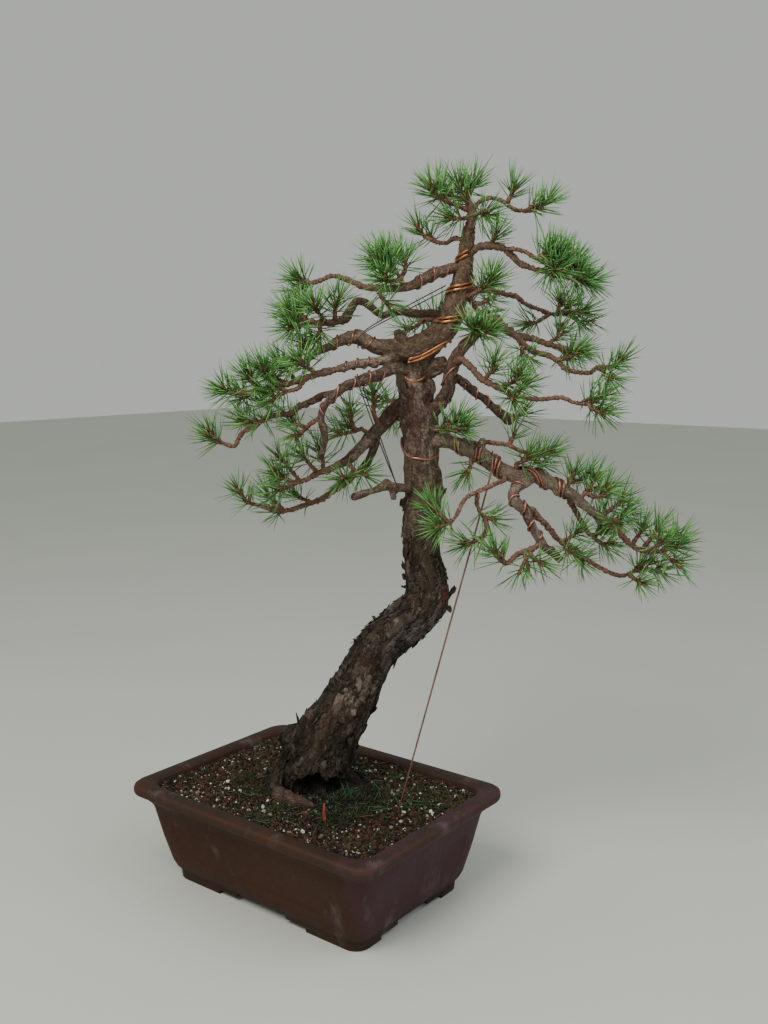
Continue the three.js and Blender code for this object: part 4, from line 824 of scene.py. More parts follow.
# A twig has this many sides, this radius at its tip, and a ring of corners after each step. The bud past
# its tip has four rings: how far past it, and their radius.
TWIG_SIDES, TWIG_TIP, TWIG_STEP = 7, 1.8, 2.2
BUD = [(1.5, 1.8), (3, 1.8), (4.5, 1.2), (6, 0.3)]
SIDE_SHOOT_RADII = (1.9, 1.7, 1.6)
# The least radius of a twig where it leaves the wood, and its radius where it forks off another.
LEAST_FOOT, FORK_FOOT = 2.7, 2.5
# How far apart the stubs of old needles are, and how far round the twig each grows from the last.
STUB_SPACING, TURN_ON = 1.15, 2.39996
# Pairs of needles to a millimetre of shoot, on the fullest branchlets and on the rest.
FULL = {"right_2": 1.6, "right_3_front": 1.5, "right_4_front": 1.5, "left_1_front": 1.5, "left_3": 1.3,
        "left_4": 1.2, "apex": 1.15, "right_5": 1.1, "trunk_right": 1.1}
NEEDLE_PAIRS = 0.85

BRANCHLETS = {
    "apex": {"end_of": "leader", "stems": [
      [[192, -16, 844], [187, -18, 860], [179, -20, 871], [176, -22, 881]],
      [[184, -19, 865], [190, -10, 876], [197, -4, 884]],
      [[190, -17, 851], [173, -24, 856], [162, -30, 860], [151, -36, 863], [142, -40, 871]],
      [[162, -30, 860], [157, -18, 871], [154, -10, 882]],
      [[190, -17, 843], [178, -26, 841], [166, -32, 840]],
      [[192, -16, 846], [200, -26, 847], [210, -36, 843]],
      [[185, -19, 863], [179, 0, 866], [170, 18, 872]],
      [[191, -16, 849], [200, -17, 861], [210, -18, 865], [224, -20, 863], [240, -24, 852], [252, -25, 850],
        [266, -26, 851], [278, -26, 859]],
      [[232, -22, 859], [236, -24, 867], [240, -28, 874]],
    ]},
    "left_high": {"radius": 2, "stems": [
      [[186, -14, 818], [173, -15, 819], [161, -8, 815], [148, 2, 818], [137, 8, 824], [130, 10, 832]],
    ]},
    "right_2": {"radius": 5, "stems": [
      [[184, -13, 799], [199, -18, 808], [217, -26, 810], [229, -28, 806], [247, -32, 790], [260, -34, 784],
        [275, -36, 780], [294, -38, 774], [312, -40, 770], [328, -43, 767]],
      [[213, -25, 810], [216, -28, 816], [219, -34, 823]],
      [[229, -28, 806], [240, -40, 805], [252, -46, 801], [265, -50, 793], [276, -54, 791], [283, -60, 802]],
      [[272, -52.5, 791.7], [278, -66, 782], [280, -76, 775]],
      [[289, -38, 776], [290, -46, 784], [294, -55, 793]],
      [[296, -38, 774], [305, -26, 782], [313, -18, 792]],
      [[311, -40, 770], [315, -30, 778], [320, -24, 786]],
    ]},
    "right_3_front": {"radius": 2.5, "stems": [
      [[176, -11, 752], [189, -21, 753], [203, -31, 760], [216, -42, 769]],
    ]},
    "right_3": {"radius": 4, "stems": [
      [[178, -8, 756], [193, 6, 760], [218, 20, 761], [237, 30, 757], [252, 36, 754], [263, 40, 746],
        [283, 44, 738], [299, 48, 733], [319, 50, 733], [342, 54, 736]],
      [[304, 48, 733], [306, 40, 740], [309, 33, 748]],
      [[296, 47, 733], [280, 38, 724], [266, 32, 718]],
      [[319, 50, 733], [331, 62, 727], [342, 70, 721]],
      [[309, 49, 733], [319, 64, 741], [328, 74, 748]],
    ]},
    "right_4_front": {"radius": 3, "stems": [
      [[189, -5, 697], [191, -16, 703], [194, -28, 709], [197, -42, 715]],
      [[192, -20, 705], [201, -36, 708], [210, -48, 709]],
    ]},
    "right_4": {"end_of": "right_4", "stems": [
      [[269, 20, 703], [287, 24, 697], [307, 32, 692], [323, 38, 689], [338, 43, 685]],
      [[291, 25, 696], [302, 32, 703], [312, 38, 710]],
      [[307, 32, 692], [315, 46, 685], [323, 57, 677]],
    ]},
    "right_4_low": {"radius": 4.2, "stems": [
      [[232, 14, 717], [243, 5, 710], [254, -1, 699], [263, -4, 691], [272, -6, 686], [286, -12, 682],
        [296, -16, 677], [305, -20, 667], [318, -22, 663], [335, -24, 662], [344, -26, 669], [357, -28, 668],
        [369, -30, 676]],
      [[344, -26, 669], [349, -38, 662], [355, -48, 656]],
      [[258, -3, 695], [254, -14, 688], [254, -24, 680]],
      [[296, -16, 677], [305, -26, 679], [314, -35, 684]],
    ]},
    "right_5": {"radius": 4.2, "stems": [
      [[171, -14, 672], [179, -25, 677], [191, -36, 669], [201, -42, 657], [213, -46, 650], [226, -50, 644],
        [241, -54, 637], [256, -56, 633], [272, -58, 632], [296, -61, 634], [311, -62, 628], [326, -62, 627],
        [343, -64, 635]],
      [[206, -44, 654], [211, -50, 661], [218, -57, 668]],
      [[224, -50, 645], [234, -60, 650], [243, -70, 656]],
      [[231, -52, 641], [236, -64, 635], [240, -76, 630]],
      [[243, -54, 637], [250, -46, 644], [258, -38, 650]],
      [[326, -62, 627], [333, -71, 620], [340, -80, 616]],
    ]},
    "right_5_low": {"radius": 3, "stems": [
      [[238, 13, 607], [245, 15, 604], [253, 18, 606], [262, 21, 610]],
    ]},
    "trunk_right": {"radius": 2.5, "stems": [
      [[134, 4, 594], [154, -18, 594], [165, -28, 598], [174, -36, 606]],
      [[161, -24, 597], [172, -38, 594], [182, -50, 597]],
    ]},
    "right_6_upper": {"radius": 2, "stems": [
      [[204, -20, 565], [210, -21, 576], [223, -22, 577], [238, -24, 575], [256, -26, 567], [272, -28, 563],
        [290, -29, 567]],
      [[238, -24, 575], [243, -20, 581], [247, -17, 589]],
      [[262, -27, 566], [271, -16, 556], [281, -8, 549]],
    ]},
    "right_6_top": {"radius": 2, "stems": [
      [[246, -28, 540], [248, -34, 552], [255, -42, 557], [262, -49, 562]],
    ]},
    "right_6_shoulder": {"radius": 2, "stems": [
      [[307, -35, 521], [312, -31, 530], [318, -22, 541]],
      [[313, -30, 532], [325, -18, 530], [336, -8, 533]],
    ]},
    "right_6_under": {"radius": 1.8, "stems": [
      [[195, -18, 567], [194, -22, 555], [192, -26, 547], [189, -30, 540]],
    ]},
    "right_6_front": {"radius": 2.8, "stems": [
      [[235, -27, 542], [232, -38, 535], [222, -45, 531], [212, -50, 527], [200, -56, 523], [185, -64, 516],
        [179, -68, 508], [173, -72, 496], [163, -76, 487], [150, -82, 485]],
      [[200, -56, 523], [199, -53, 506], [208, -51, 492], [217, -50, 488]],
      [[208, -51, 492], [211, -53, 475], [201, -56, 465], [184, -60, 458]],
      [[164, -75, 488], [154, -68, 498], [145, -62, 508]],
    ]},
    "right_6_fall": {"radius": 4, "stems": [
      [[276, -60, 462], [267, -65, 457], [254, -72, 453], [242, -78, 449], [233, -82, 441], [225, -84, 445],
        [217, -86, 456]],
      [[254, -72, 453], [256, -76, 444], [258, -80, 435]],
      [[259, -70, 453], [266, -80, 446], [274, -89, 441]],
    ]},
    "right_6_fork": {"radius": 4, "stems": [
      [[257, -54, 501], [266, -47, 498], [273, -44, 490], [284, -40, 480], [302, -36, 459], [320, -34, 448],
        [341, -32, 432], [358, -30, 422], [381, -26, 414], [396, -23, 419], [413, -18, 426]],
      [[304, -36, 458], [313, -42, 465], [322, -48, 473]],
      [[306, -36, 457], [308, -50, 452], [314, -62, 449]],
      [[317, -34, 449], [325, -26, 438], [333, -18, 427]],
      [[396, -23, 419], [418, -14, 419], [437, -8, 413]],
      [[389, -25, 416], [395, -39, 412], [403, -50, 409]],
    ]},
    "right_6_drop": {"radius": 4, "stems": [
      [[309, -36, 519], [314, -31, 508], [323, -24, 492], [333, -18, 476], [342, -14, 464], [355, -6, 463],
        [368, 0, 466]],
      [[342, -14, 464], [351, -25, 457], [360, -34, 451]],
      [[352, -8, 463], [358, 4, 472], [364, 12, 483]],
    ]},
    "right_6_mid": {"radius": 2.5, "stems": [
      [[324, -40, 509], [329, -40, 518], [336, -38, 526], [342, -36, 535]],
      [[330, -40, 519], [339, -54, 516], [348, -66, 519]],
      [[333, -39, 522], [347, -28, 522], [361, -18, 520]],
    ]},
    "right_6_tip": {"end_of": "right_6", "stems": [
      [[355, -48, 486], [369, -50, 474], [380, -50, 462], [393, -48, 452], [409, -46, 448], [427, -44, 449],
        [449, -42, 458]],
      [[348, -47, 491], [361, -41, 499], [375, -35, 506]],
      [[357, -48, 484], [372, -34, 487], [388, -22, 491]],
      [[355, -48, 486], [359, -62, 487], [366, -77, 488]],
      [[387, -49, 457], [396, -38, 466], [407, -26, 474]],
      [[399, -47, 450], [408, -50, 464], [416, -53, 479]],
      [[407, -46, 448], [412, -60, 456], [419, -72, 465]],
      [[424, -44, 448], [438, -28, 454], [452, -16, 461]],
      [[422, -45, 449], [431, -51, 441], [440, -58, 433]],
    ]},
    "left_1_front": {"radius": 3, "stems": [
      [[111, -38, 761], [108, -43, 769], [101, -50, 780], [89, -57, 798]],
      [[107, -44, 771], [113, -34, 783], [113, -25, 797]],
      [[102, -49, 778], [90, -60, 781], [78, -68, 787]],
      [[107, -44, 770], [97, -62, 767], [86, -78, 768]],
    ]},
    "left_1": {"end_of": "left_1", "stems": [
      [[72, -25, 762], [60, -20, 764], [48, -16, 770], [36, -12, 775], [25, -10, 776], [9, -8, 770],
        [-4, -6, 768], [-18, -5, 773]],
      [[79, -27, 761], [85, -34, 751], [92, -39, 742]],
      [[-1, -6, 768], [-12, 8, 763], [-23, 18, 759]],
    ]},
    "left_3": {"end_of": "left_3", "stems": [
      [[30, -15, 722], [19, -20, 721], [5, -24, 721], [-6, -26, 722], [-15, -28, 726], [-27, -30, 731]],
      [[-5, -26, 722], [-11, -16, 733], [-16, -8, 743]],
      [[-2, -26, 722], [-12, -42, 717], [-22, -56, 713]],
      [[29, -16, 722], [30, -27, 731], [30, -38, 742]],
      [[19, -20, 721], [12, -34, 731], [5, -45, 740]],
      [[12, -22, 721], [12, -31, 711], [10, -38, 701]],
      [[7, -23, 721], [-5, -6, 725], [-15, 10, 727]],
    ]},
    "left_2": {"end_of": "left_2", "stems": [
      [[3, -38, 681], [-4, -41, 675], [-15, -44, 673]],
      [[3, -38, 681], [-1, -50, 689], [-7, -60, 697]],
    ]},
    "left_4": {"end_of": "left_4", "stems": [
      [[10, -46, 661], [-5, -46, 656], [-23, -44, 650], [-45, -42, 646], [-65, -40, 641], [-86, -38, 638],
        [-105, -38, 641]],
      [[-58, -41, 643], [-66, -49, 650], [-74, -57, 660]],
      [[-66, -40, 641], [-75, -26, 635], [-86, -12, 630]],
      [[-16, -45, 653], [-25, -38, 663], [-36, -30, 672]],
      [[-23, -44, 650], [-37, -27, 653], [-50, -12, 658]],
      [[10, -46, 661], [1, -60, 667], [-10, -74, 673]],
      [[-5, -46, 656], [-14, -48, 644], [-28, -50, 640], [-44, -53, 629]],
      [[-40, -43, 647], [-48, -53, 658], [-55, -62, 669]],
    ]},
    "left_5": {"radius": 2.5, "stems": [
      [[14, -66, 610], [6, -60, 606], [-4, -50, 598], [-15, -45, 586]],
      [[-4, -50, 598], [-14, -38, 601], [-24, -28, 602]],
    ]},
    "left_5_side": {"end_of": "left_5_side", "stems": [
      [[-14, -34, 622], [-23, -32, 614], [-38, -28, 612], [-54, -24, 608], [-69, -20, 597], [-84, -18, 589],
        [-95, -16, 573], [-106, -16, 576], [-118, -16, 579], [-128, -16, 586]],
      [[-47, -26, 610], [-51, -17, 619], [-59, -11, 627]],
      [[-52, -25, 609], [-56, -36, 605], [-63, -46, 604]],
      [[-74, -19, 594], [-80, -8, 599], [-89, 1, 604]],
    ]},
    "left_6_upper": {"radius": 2.6, "stems": [
      [[72, 15, 583], [61, 8, 591], [53, 4, 590], [44, -2, 588], [31, -8, 586]],
      [[53, 4, 590], [49, -6, 600], [46, -15, 613]],
    ]},
    "left_6_inner": {"radius": 2, "stems": [
      [[84, 16, 594], [79, 6, 604], [75, -3, 617], [75, -9, 638]],
    ]},
    "left_6": {"end_of": "left_6", "stems": [
      [[18, 3, 541], [6, 0, 538], [-7, -4, 531], [-19, -6, 528], [-33, -9, 531], [-46, -11, 537]],
      [[-18, -6, 528], [-30, -20, 523], [-43, -32, 519]],
      [[-16, -5, 529], [-26, 6, 539], [-36, 15, 550]],
      [[6, 0, 538], [-3, -8, 550], [-12, -15, 562]],
      [[12, 1, 540], [12, 12, 550], [9, 21, 562]],
    ]},
    "left_6_right": {"radius": 2.2, "stems": [
      [[42, 9, 552], [48, 0, 545], [56, -8, 540], [66, -13, 538]],
      [[52, -4, 542], [43, -16, 536], [35, -27, 532]],
    ]},
    "left_6_low": {"end_of": "left_6_low", "stems": [
      [[40, 38, 522], [23, 42, 510], [8, 46, 499], [-5, 48, 494], [-22, 50, 488], [-41, 52, 483],
        [-57, 54, 486], [-73, 56, 489], [-88, 56, 494], [-99, 56, 507]],
      [[-5, 48, 494], [-14, 38, 500], [-25, 29, 506]],
      [[-41, 52, 483], [-49, 44, 494], [-60, 37, 504]],
      [[-36, 52, 484], [-47, 66, 479], [-59, 78, 478]],
    ]},
    "back_low": {"radius": 5, "stems": [
      [[124, 8, 652], [122, 29, 649], [118, 52, 641], [111, 80, 624], [104, 105, 610], [100, 126, 594]],
      [[111, 80, 624], [99, 101, 621], [87, 117, 620]],
      [[106, 98, 615], [115, 118, 606], [122, 134, 595]],
    ]},
    "back_top": {"radius": 5, "stems": [
      [[169, -9, 732], [168, 7, 734], [159, 30, 730], [146, 54, 726], [142, 80, 729], [140, 106, 724]],
      [[144, 65, 727], [153, 84, 733], [160, 100, 739]],
      [[142, 78, 729], [129, 93, 719], [118, 106, 713]],
    ]},
    "back_right": {"radius": 4, "stems": [
      [[180, -11, 768], [182, 4, 767], [189, 28, 757], [199, 54, 746], [209, 82, 738], [220, 108, 732]],
      [[202, 62, 743], [216, 77, 749], [228, 90, 754]],
      [[206, 74, 740], [202, 92, 750], [199, 107, 762]],
    ]},
}


def seat_of(branchlet):
    """Where a branchlet starts inside the wood, where it leaves it, and its radius there."""
    if "end_of" in branchlet:
        before, end = LIMBS[branchlet["end_of"]][-2:]
        return np.array(before[:3]), np.array(end[:3]), end[3]
    before, end = branchlet["stems"][0][:2]
    return np.array(before), np.array(end), branchlet["radius"]


def twig_routes(branchlet):
    """The branchlet's stems as smooth paths with their radii, each starting inside what carries it."""
    before, start, radius = seat_of(branchlet)
    way = unit(start - before)
    root = start - 3 * way if "end_of" in branchlet else before
    routes = []
    for k, points in enumerate(branchlet["stems"]):
        if k == 0:
            points = [list(root), list(start + 2 * way)] + points[0 if "end_of" in branchlet else 2:]
        foot = max(LEAST_FOOT, radius * 0.96) if k == 0 else FORK_FOOT
        radii = np.linspace(0, 1, len(points)) ** 0.9 * (TWIG_TIP - foot) + foot
        routes.append(smooth_path([[*point, r] for point, r in zip(points, radii)], TWIG_STEP))
    return routes


def side_shoots(route):
    """Short shoots that fork off near the end of a stem."""
    shoots = []
    run = distances(route)
    along, side, other = directions_along(route)
    turn = rng.uniform(0, 6.3)
    for back in (rng.uniform(6, 13), rng.uniform(20, 30))[: 1 + (run[-1] > 45)]:
        if run[-1] < back + 9:
            continue
        k = np.searchsorted(run, run[-1] - back)
        turn += rng.uniform(2, 4)
        out = side[k] * math.cos(turn) + other[k] * math.sin(turn)
        out[2] = abs(out[2]) * 0.8 + 0.1
        way = unit(0.75 * along[k] + 0.8 * unit(out))
        start, length = route[k, :3], rng.uniform(9, 17)
        points = [start, start + 0.4 * length * way, start + length * unit(way + 0.35 * along[k])]
        shoots.append(smooth_path([[*point, r] for point, r in zip(points, SIDE_SHOOT_RADII)], TWIG_STEP))
    return shoots


def twig(route):
    """A rough round stem with its bud, which of its corners are the bud's, and how thick it is there."""
    bud_along = unit(route[-1, :3] - route[-2, :3])
    path = np.vstack([route, [[*(route[-1, :3] + bud_along * run), radius] for run, radius in BUD]])
    knobs = rng.uniform(-0.24, 0.36, (len(path), TWIG_SIDES)) + rng.uniform(-0.1, 0.22, (len(path), 1))
    knobs[-len(BUD):] *= 0.3
    corners, faces = tube(path, TWIG_SIDES, path[:, 3][:, None] * (1 + knobs))
    is_bud = np.repeat(np.arange(len(path)) >= len(route), TWIG_SIDES)
    return corners, faces, is_bud, np.repeat(blend(path[:, 3], 2.2, 4.5), TWIG_SIDES)


def round_a_twig(route, stops, start_turn):
    """At each stop on a twig: its middle and radius, the way along it, and a way out that winds round it."""
    run = distances(route)
    place, *ways = (
        np.stack([np.interp(stops, run, column) for column in values.T], 1)
        for values in (route, *directions_along(route))
    )
    along, side, other = map(unit, ways)
    turn = TURN_ON * np.arange(len(stops)) + start_turn
    return place, along, side * np.cos(turn)[:, None] + other * np.sin(turn)[:, None]


def scale_stubs(route):
    """The stubs of shed needles: short pointed scales set close all along a twig, leaning forward."""
    stops = np.arange(3, distances(route)[-1], STUB_SPACING) + rng.uniform(-0.5, 0.5)
    count = len(stops)
    place, along, out = round_a_twig(route, stops, rng.normal(0, 0.3, count))
    across = np.cross(along, out)
    foot = place[:, :3] + out * place[:, 3:] * 0.75
    lean = (out * 0.85 + along * 0.8) * rng.uniform(1.5, 3.1, (count, 1))
    tip = foot + lean + 0.3 * rng.normal(size=(count, 3))
    back, front = foot - 0.4 * along, foot + 1.3 * along
    corners = np.stack([back + 1.15 * across, back - 1.15 * across, front, tip], axis=1).reshape(-1, 3)
    one = np.array([(0, 2, 1), (0, 1, 3), (1, 2, 3), (2, 0, 3)])
    faces = (one[None] + 4 * np.arange(count)[:, None, None]).reshape(-1, 3)
    return corners, [tuple(face) for face in faces.tolist()], np.zeros(4 * count), np.zeros(4 * count)


def needles(route, shoot_length, pairs_per_mm):
    """Feet, ways and lengths of the needles round the end of a twig, and the ways out of it there."""
    end = distances(route)[-1]
    shoot = min(shoot_length, 0.75 * end)
    count = max(6, round(shoot * pairs_per_mm))
    back = shoot * np.linspace(0, 1, count) ** 1.25
    place, along, out = round_a_twig(route, end - back, rng.uniform(0, 6.3))
    lean = TIP_LEAN + FOOT_LEAN * (back / shoot_length) ** 0.55 + rng.normal(0, 8, count)
    lean = np.radians(lean)[:, None]
    ways = along * np.cos(lean) + out * np.sin(lean)
    ways[:, 2] += 0.16
    feet = place[:, :3] + out * place[:, 3:] * 0.8
    apart = np.cross(ways, unit(rng.normal(size=ways.shape))) * 0.13
    lengths = NEEDLE_LENGTH * rng.uniform(0.72, 1.06, count)
    keep = rng.uniform(size=count) < 0.95
    feet, ways, apart, lengths, out = (values[keep] for values in (feet, ways, apart, lengths, out))
    both = np.vstack([unit(ways + apart), unit(ways - apart)])
    lengths = np.r_[lengths, lengths * rng.uniform(0.93, 1.04, len(lengths))]
    return np.vstack([feet, feet]), both, lengths, np.vstack([out, out])


def needle_tufts(feet, ways, lengths, outs):
    """Corners and faces of slim three-sided needles that bend a little, and each corner's share along it."""
    count = len(feet)
    bend = unit(rng.normal(size=(count, 3)) + 0.6 * ways - 0.5 * outs) * rng.uniform(0, 0.09, (count, 1))
    side = unit(np.cross(ways, bend + (0.01, 0.02, 0.03)))
    other = np.cross(ways, side)
    turn = np.arange(3) * 2 * np.pi / 3 + 0.5
    rounds = side[:, None] * np.cos(turn)[:, None] + other[:, None] * np.sin(turn)[:, None]
    rings = []
    for share, reach in NEEDLE_RINGS:
        middle = feet + lengths[:, None] * (share * ways + share**2 * bend)
        rings.append(middle[:, None] + rounds * NEEDLE_RADIUS * reach)
    tips = feet + lengths[:, None] * (ways + bend)
    corners = np.concatenate([*rings, tips[:, None]], axis=1).reshape(-1, 3)
    one = [(2, 1, 0), (3, 4, 6), (4, 5, 6), (5, 3, 6), (0, 1, 4, 3), (1, 2, 5, 4), (2, 0, 3, 5)]
    faces = [tuple(corner + NEEDLE_CORNERS * k for corner in face) for k in range(count) for face in one]
    shares = np.r_[np.repeat([share for share, _ in NEEDLE_RINGS], 3), 1]
    return corners, faces, np.tile(shares, count)


def needle_finish():
    green, shader, add = start_material("pine_needles", Roughness=0.45, Specular_IOR_Level=0.55)
    tint, share = noted(add, "tint", "share")
    colour = mixed(add, between(add, tint, 0.0, 0.5), paint(46, 92, 38), paint(84, 146, 64))
    colour = washed(add, colour, tint, 0.5, 1.0, 1, paint(148, 198, 108))
    colour = washed(add, colour, share, 0.2, 0.0, 0.7, paint(132, 116, 68))
    colour = washed(add, colour, share, 0.85, 1.0, 0.35, paint(172, 182, 112))
    streak = noise(add, object_place(add), 0.004, 3)
    colour = washed(add, colour, streak, 0.4, 0.7, 0.3, paint(68, 118, 58))
    feed(shader, "Base Color", colour)
    bumped(add, shader, (streak, 0.0001))
    return green


def twig_finish():
    skin, shader, add = start_material("twig_bark", Specular_IOR_Level=0.3)
    place = object_place(add)
    bud, thick = noted(add, "bud", "thick")
    patch, scale = noise(add, place, 0.008, 4), noise(add, place, 0.0025, 4, 0.7)
    colour = mixed(add, between(add, patch, 0.35, 0.65), paint(92, 63, 51), paint(128, 92, 73))
    colour = washed(add, colour, scale, 0.5, 0.66, 0.6, paint(170, 136, 114))
    colour = washed(add, colour, scale, 0.48, 0.32, 0.75, paint(54, 37, 31))
    colour = tinged(add, colour, thick, 0.7, paint(104, 84, 72))
    colour = mixed(add, bud, colour, paint(132, 94, 62))
    feed(shader, "Base Color", colour)
    feed(shader, "Roughness", between(add, patch, 0.3, 0.7, 0.9, 0.7))
    bumped(add, shader, (scale, 0.0012), (patch, 0.001))
    return skin


def build_branchlet(name, branchlet, skin, green):
    routes = twig_routes(branchlet)
    young = [shoot for route in routes for shoot in side_shoots(route)]
    parts = [make(route) for route in routes + young for make in (twig, scale_stubs)]
    stems = new_piece("twig_" + name, *together([part[:2] for part in parts]), skin)
    note(stems, "bud", np.concatenate([part[2] for part in parts]))
    note(stems, "thick", np.concatenate([part[3] for part in parts]))

    pairs = FULL.get(name, NEEDLE_PAIRS)
    sets = [needles(route, SHOOT_LENGTH, pairs) for route in routes]
    sets += [needles(shoot, SIDE_SHOOT_LENGTH, pairs) for shoot in young]
    corners, faces, share = needle_tufts(*(np.concatenate(values) for values in zip(*sets)))
    tufts = new_piece("tufts_" + name, corners, faces, green)
    note(tufts, "share", share)
    tints = np.clip(rng.normal(0.5, 0.24, len(share) // NEEDLE_CORNERS), 0, 1)
    note(tufts, "tint", np.repeat(tints, NEEDLE_CORNERS))
    for piece in (stems, tufts):
        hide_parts("needles_" + name)
        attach(piece, "root")


skin, green = twig_finish(), needle_finish()
for name, branchlet in BRANCHLETS.items():
    build_branchlet(name, branchlet, skin, green)

# The soil: a mound of fine dark bark and grit with white perlite through it, filled in round the roots
# and pressed down to just under the lip.

# How many grains of each, and their least and greatest radius in metres.
GRIT, GRIT_RADII = 7500, (0.0011, 0.0029)
PERLITE, PERLITE_RADII = 1500, (0.0005, 0.0029)
# The largest lumps of perlite, and their radius in metres.
LUMPS, LUMP_RADIUS = [[-8, -128, 127], [14, -140, 126], [148, -76, 126], [-60, -70, 127]], 0.0034
# Where the soil is painted dark as shade round the foot of the trunk, and how high in metres the soil's top
# is at its lowest.
SHADE_SPOT, SOIL_EDGE = [34, -42, 126], 0.116
# A sliver of red bark that stands in the soil by the front root.
SLIVER = [[17, -96, 122, 1.5], [16, -96, 130, 2.1], [15.5, -96.5, 140, 1.8], [16, -97, 149, 1.2]]


def shaded_round_foot(add, colour):
    """A soil colour, with painted shade darkening it round the foot of the trunk."""
    place = object_place(add)
    away = add("VectorMath", {0: place, 1: IN_PLACE @ Vector(SHADE_SPOT)}, operation="DISTANCE").outputs[1]
    ragged = worked_out(add, "MULTIPLY", noise(add, place, 0.02, 3), 0.05)
    away = worked_out(add, "ADD", away, ragged)
    return washed(add, colour, away, 0.115, 0.06, 0.72, paint(15, 15, 11))


def soil_finish():
    soil, shader, add = start_material("potting_soil", Roughness=0.95, Specular_IOR_Level=0.2)
    place = object_place(add)
    crumb, patch = noise(add, place, 0.004, 5, 0.7), noise(add, place, 0.06, 3)
    colour = mixed(add, between(add, crumb, 0.3, 0.7), paint(16, 12, 11), paint(46, 32, 25))
    colour = washed(add, colour, patch, 0.5, 0.65, 0.5, paint(28, 34, 19))
    # The soil is painted darker round the foot of the trunk, as shade.
    feed(shader, "Base Color", shaded_round_foot(add, colour))
    bumped(add, shader, (crumb, 0.003))
    return soil


def grit_finish(name, colours, roughness):
    """A finish whose grains each take one of four colours by their own tint, and are spotted with grime."""
    grit, shader, add = start_material(name, Roughness=roughness, Specular_IOR_Level=0.3)
    [tint] = noted(add, "tint")
    speck, patch = noise(add, object_place(add), 0.002, 3), noise(add, object_place(add), 0.05, 3)
    colour = colours[0]
    for start, next_colour in zip((0.26, 0.52, 0.78), colours[1:]):
        colour = mixed(add, between(add, tint, start - 0.03, start + 0.03), colour, next_colour)
    colour = washed(add, colour, patch, 0.48, 0.6, 0.4, paint(60, 58, 34))
    colour = washed(add, colour, speck, 0.55, 0.35, 0.5, paint(24, 19, 16))
    # The grains take the painted shade round the foot of the trunk too.
    feed(shader, "Base Color", shaded_round_foot(add, colour))
    bumped(add, shader, (speck, 0.0006))
    return grit


def soil_below(above):
    """The place on top of the soil below this one, or None over the wood or the pot."""
    hit, place, _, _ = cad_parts["soil"].ray_cast(above, Vector((0, 0, -1)))
    return place if hit and place.z > POT_ORIGIN.z + SOIL_EDGE else None


def soil_spots(count):
    """Random places on top of the soil, in metres."""
    low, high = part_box("soil")
    spots = []
    while len(spots) < count:
        place = soil_below(Vector((rng.uniform(low.x, high.x), rng.uniform(low.y, high.y), high.z + 0.02)))
        if place is not None:
            spots.append(place)
    return np.array(spots)


def grain_shapes(count):
    """Corners and faces of some angular grains, about 1 in radius."""
    shapes = []
    for _ in range(count):
        bpy.ops.mesh.primitive_ico_sphere_add(subdivisions=1, radius=1)
        ball = bpy.context.object
        corners = corners_of(ball)
        corners *= rng.uniform(0.72, 1.2, (len(corners), 1)) * rng.uniform(0.4, 1.3, 3)
        shapes.append((corners, np.array([tuple(face.vertices) for face in ball.data.polygons])))
        bpy.data.objects.remove(ball)
    return shapes


def scatter(name, spots, radii, shapes, material):
    """Grains of these radii lying on these spots, each turned its own way and sunk in a little."""
    corners, faces, count = [], [], 0
    for spot, radius in zip(spots, radii):
        shape, shape_faces = shapes[rng.integers(len(shapes))]
        turn = np.linalg.qr(rng.normal(size=(3, 3)))[0]
        turn *= np.sign(np.linalg.det(turn))
        corners.append(shape @ turn * radius + spot + (0, 0, radius * rng.uniform(-0.1, 0.55)))
        faces.append(shape_faces + count)
        count += len(shape)
    grains = new_piece(name, np.vstack(corners), np.vstack(faces).tolist(), material, Matrix.Identity(4))
    grains.data.polygons.foreach_set("use_smooth", np.zeros(len(grains.data.polygons), bool))
    note(grains, "tint", np.repeat(rng.uniform(0, 1, len(spots)), [len(part) for part in corners]))
    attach(grains, "root")


potting_soil = soil_finish()
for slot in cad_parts["soil"].material_slots:
    slot.material = potting_soil
dark_tones = paint(26, 21, 18), paint(82, 42, 31), paint(42, 46, 28), paint(74, 60, 43)
white_tones = paint(190, 190, 172), paint(112, 112, 92), paint(220, 220, 206), paint(148, 146, 126)
dark, white = grit_finish("dark_grit", dark_tones, 0.85), grit_finish("white_perlite", white_tones, 0.7)
grain_forms = grain_shapes(9)
scatter("soil_grit", soil_spots(GRIT), rng.uniform(*GRIT_RADII, GRIT), grain_forms, dark)
# Most perlite is fine, and few lumps are large.
small, large = PERLITE_RADII
perlite_radii = small + (large - small) * rng.uniform(0.3, 1, PERLITE) ** 4.2
perlite_spots = soil_spots(PERLITE)
for k, place in enumerate(LUMPS):
    perlite_spots[k], perlite_radii[k] = IN_PLACE @ Vector(place), LUMP_RADIUS
scatter("soil_perlite", perlite_spots, perlite_radii, grain_forms, white)

red_bark, shader, add = start_material("red_bark", Roughness=0.7)
grain = noise(add, object_place(add), 0.004, 4)
red_tone = mixed(add, between(add, grain, 0.35, 0.65), paint(126, 52, 38), paint(176, 84, 58))
feed(shader, "Base Color", red_tone)
bumped(add, shader, (grain, 0.0008))
sliver = new_piece("soil_sliver", *tube(smooth_path(SLIVER, 2), 6), red_bark)
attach(sliver, "root")

# The growth on the soil: thin dark moss, sprigs of grass that have come up by themselves round the foot of
# the trunk, and needles that have dropped from the tree, still green or gone brown.

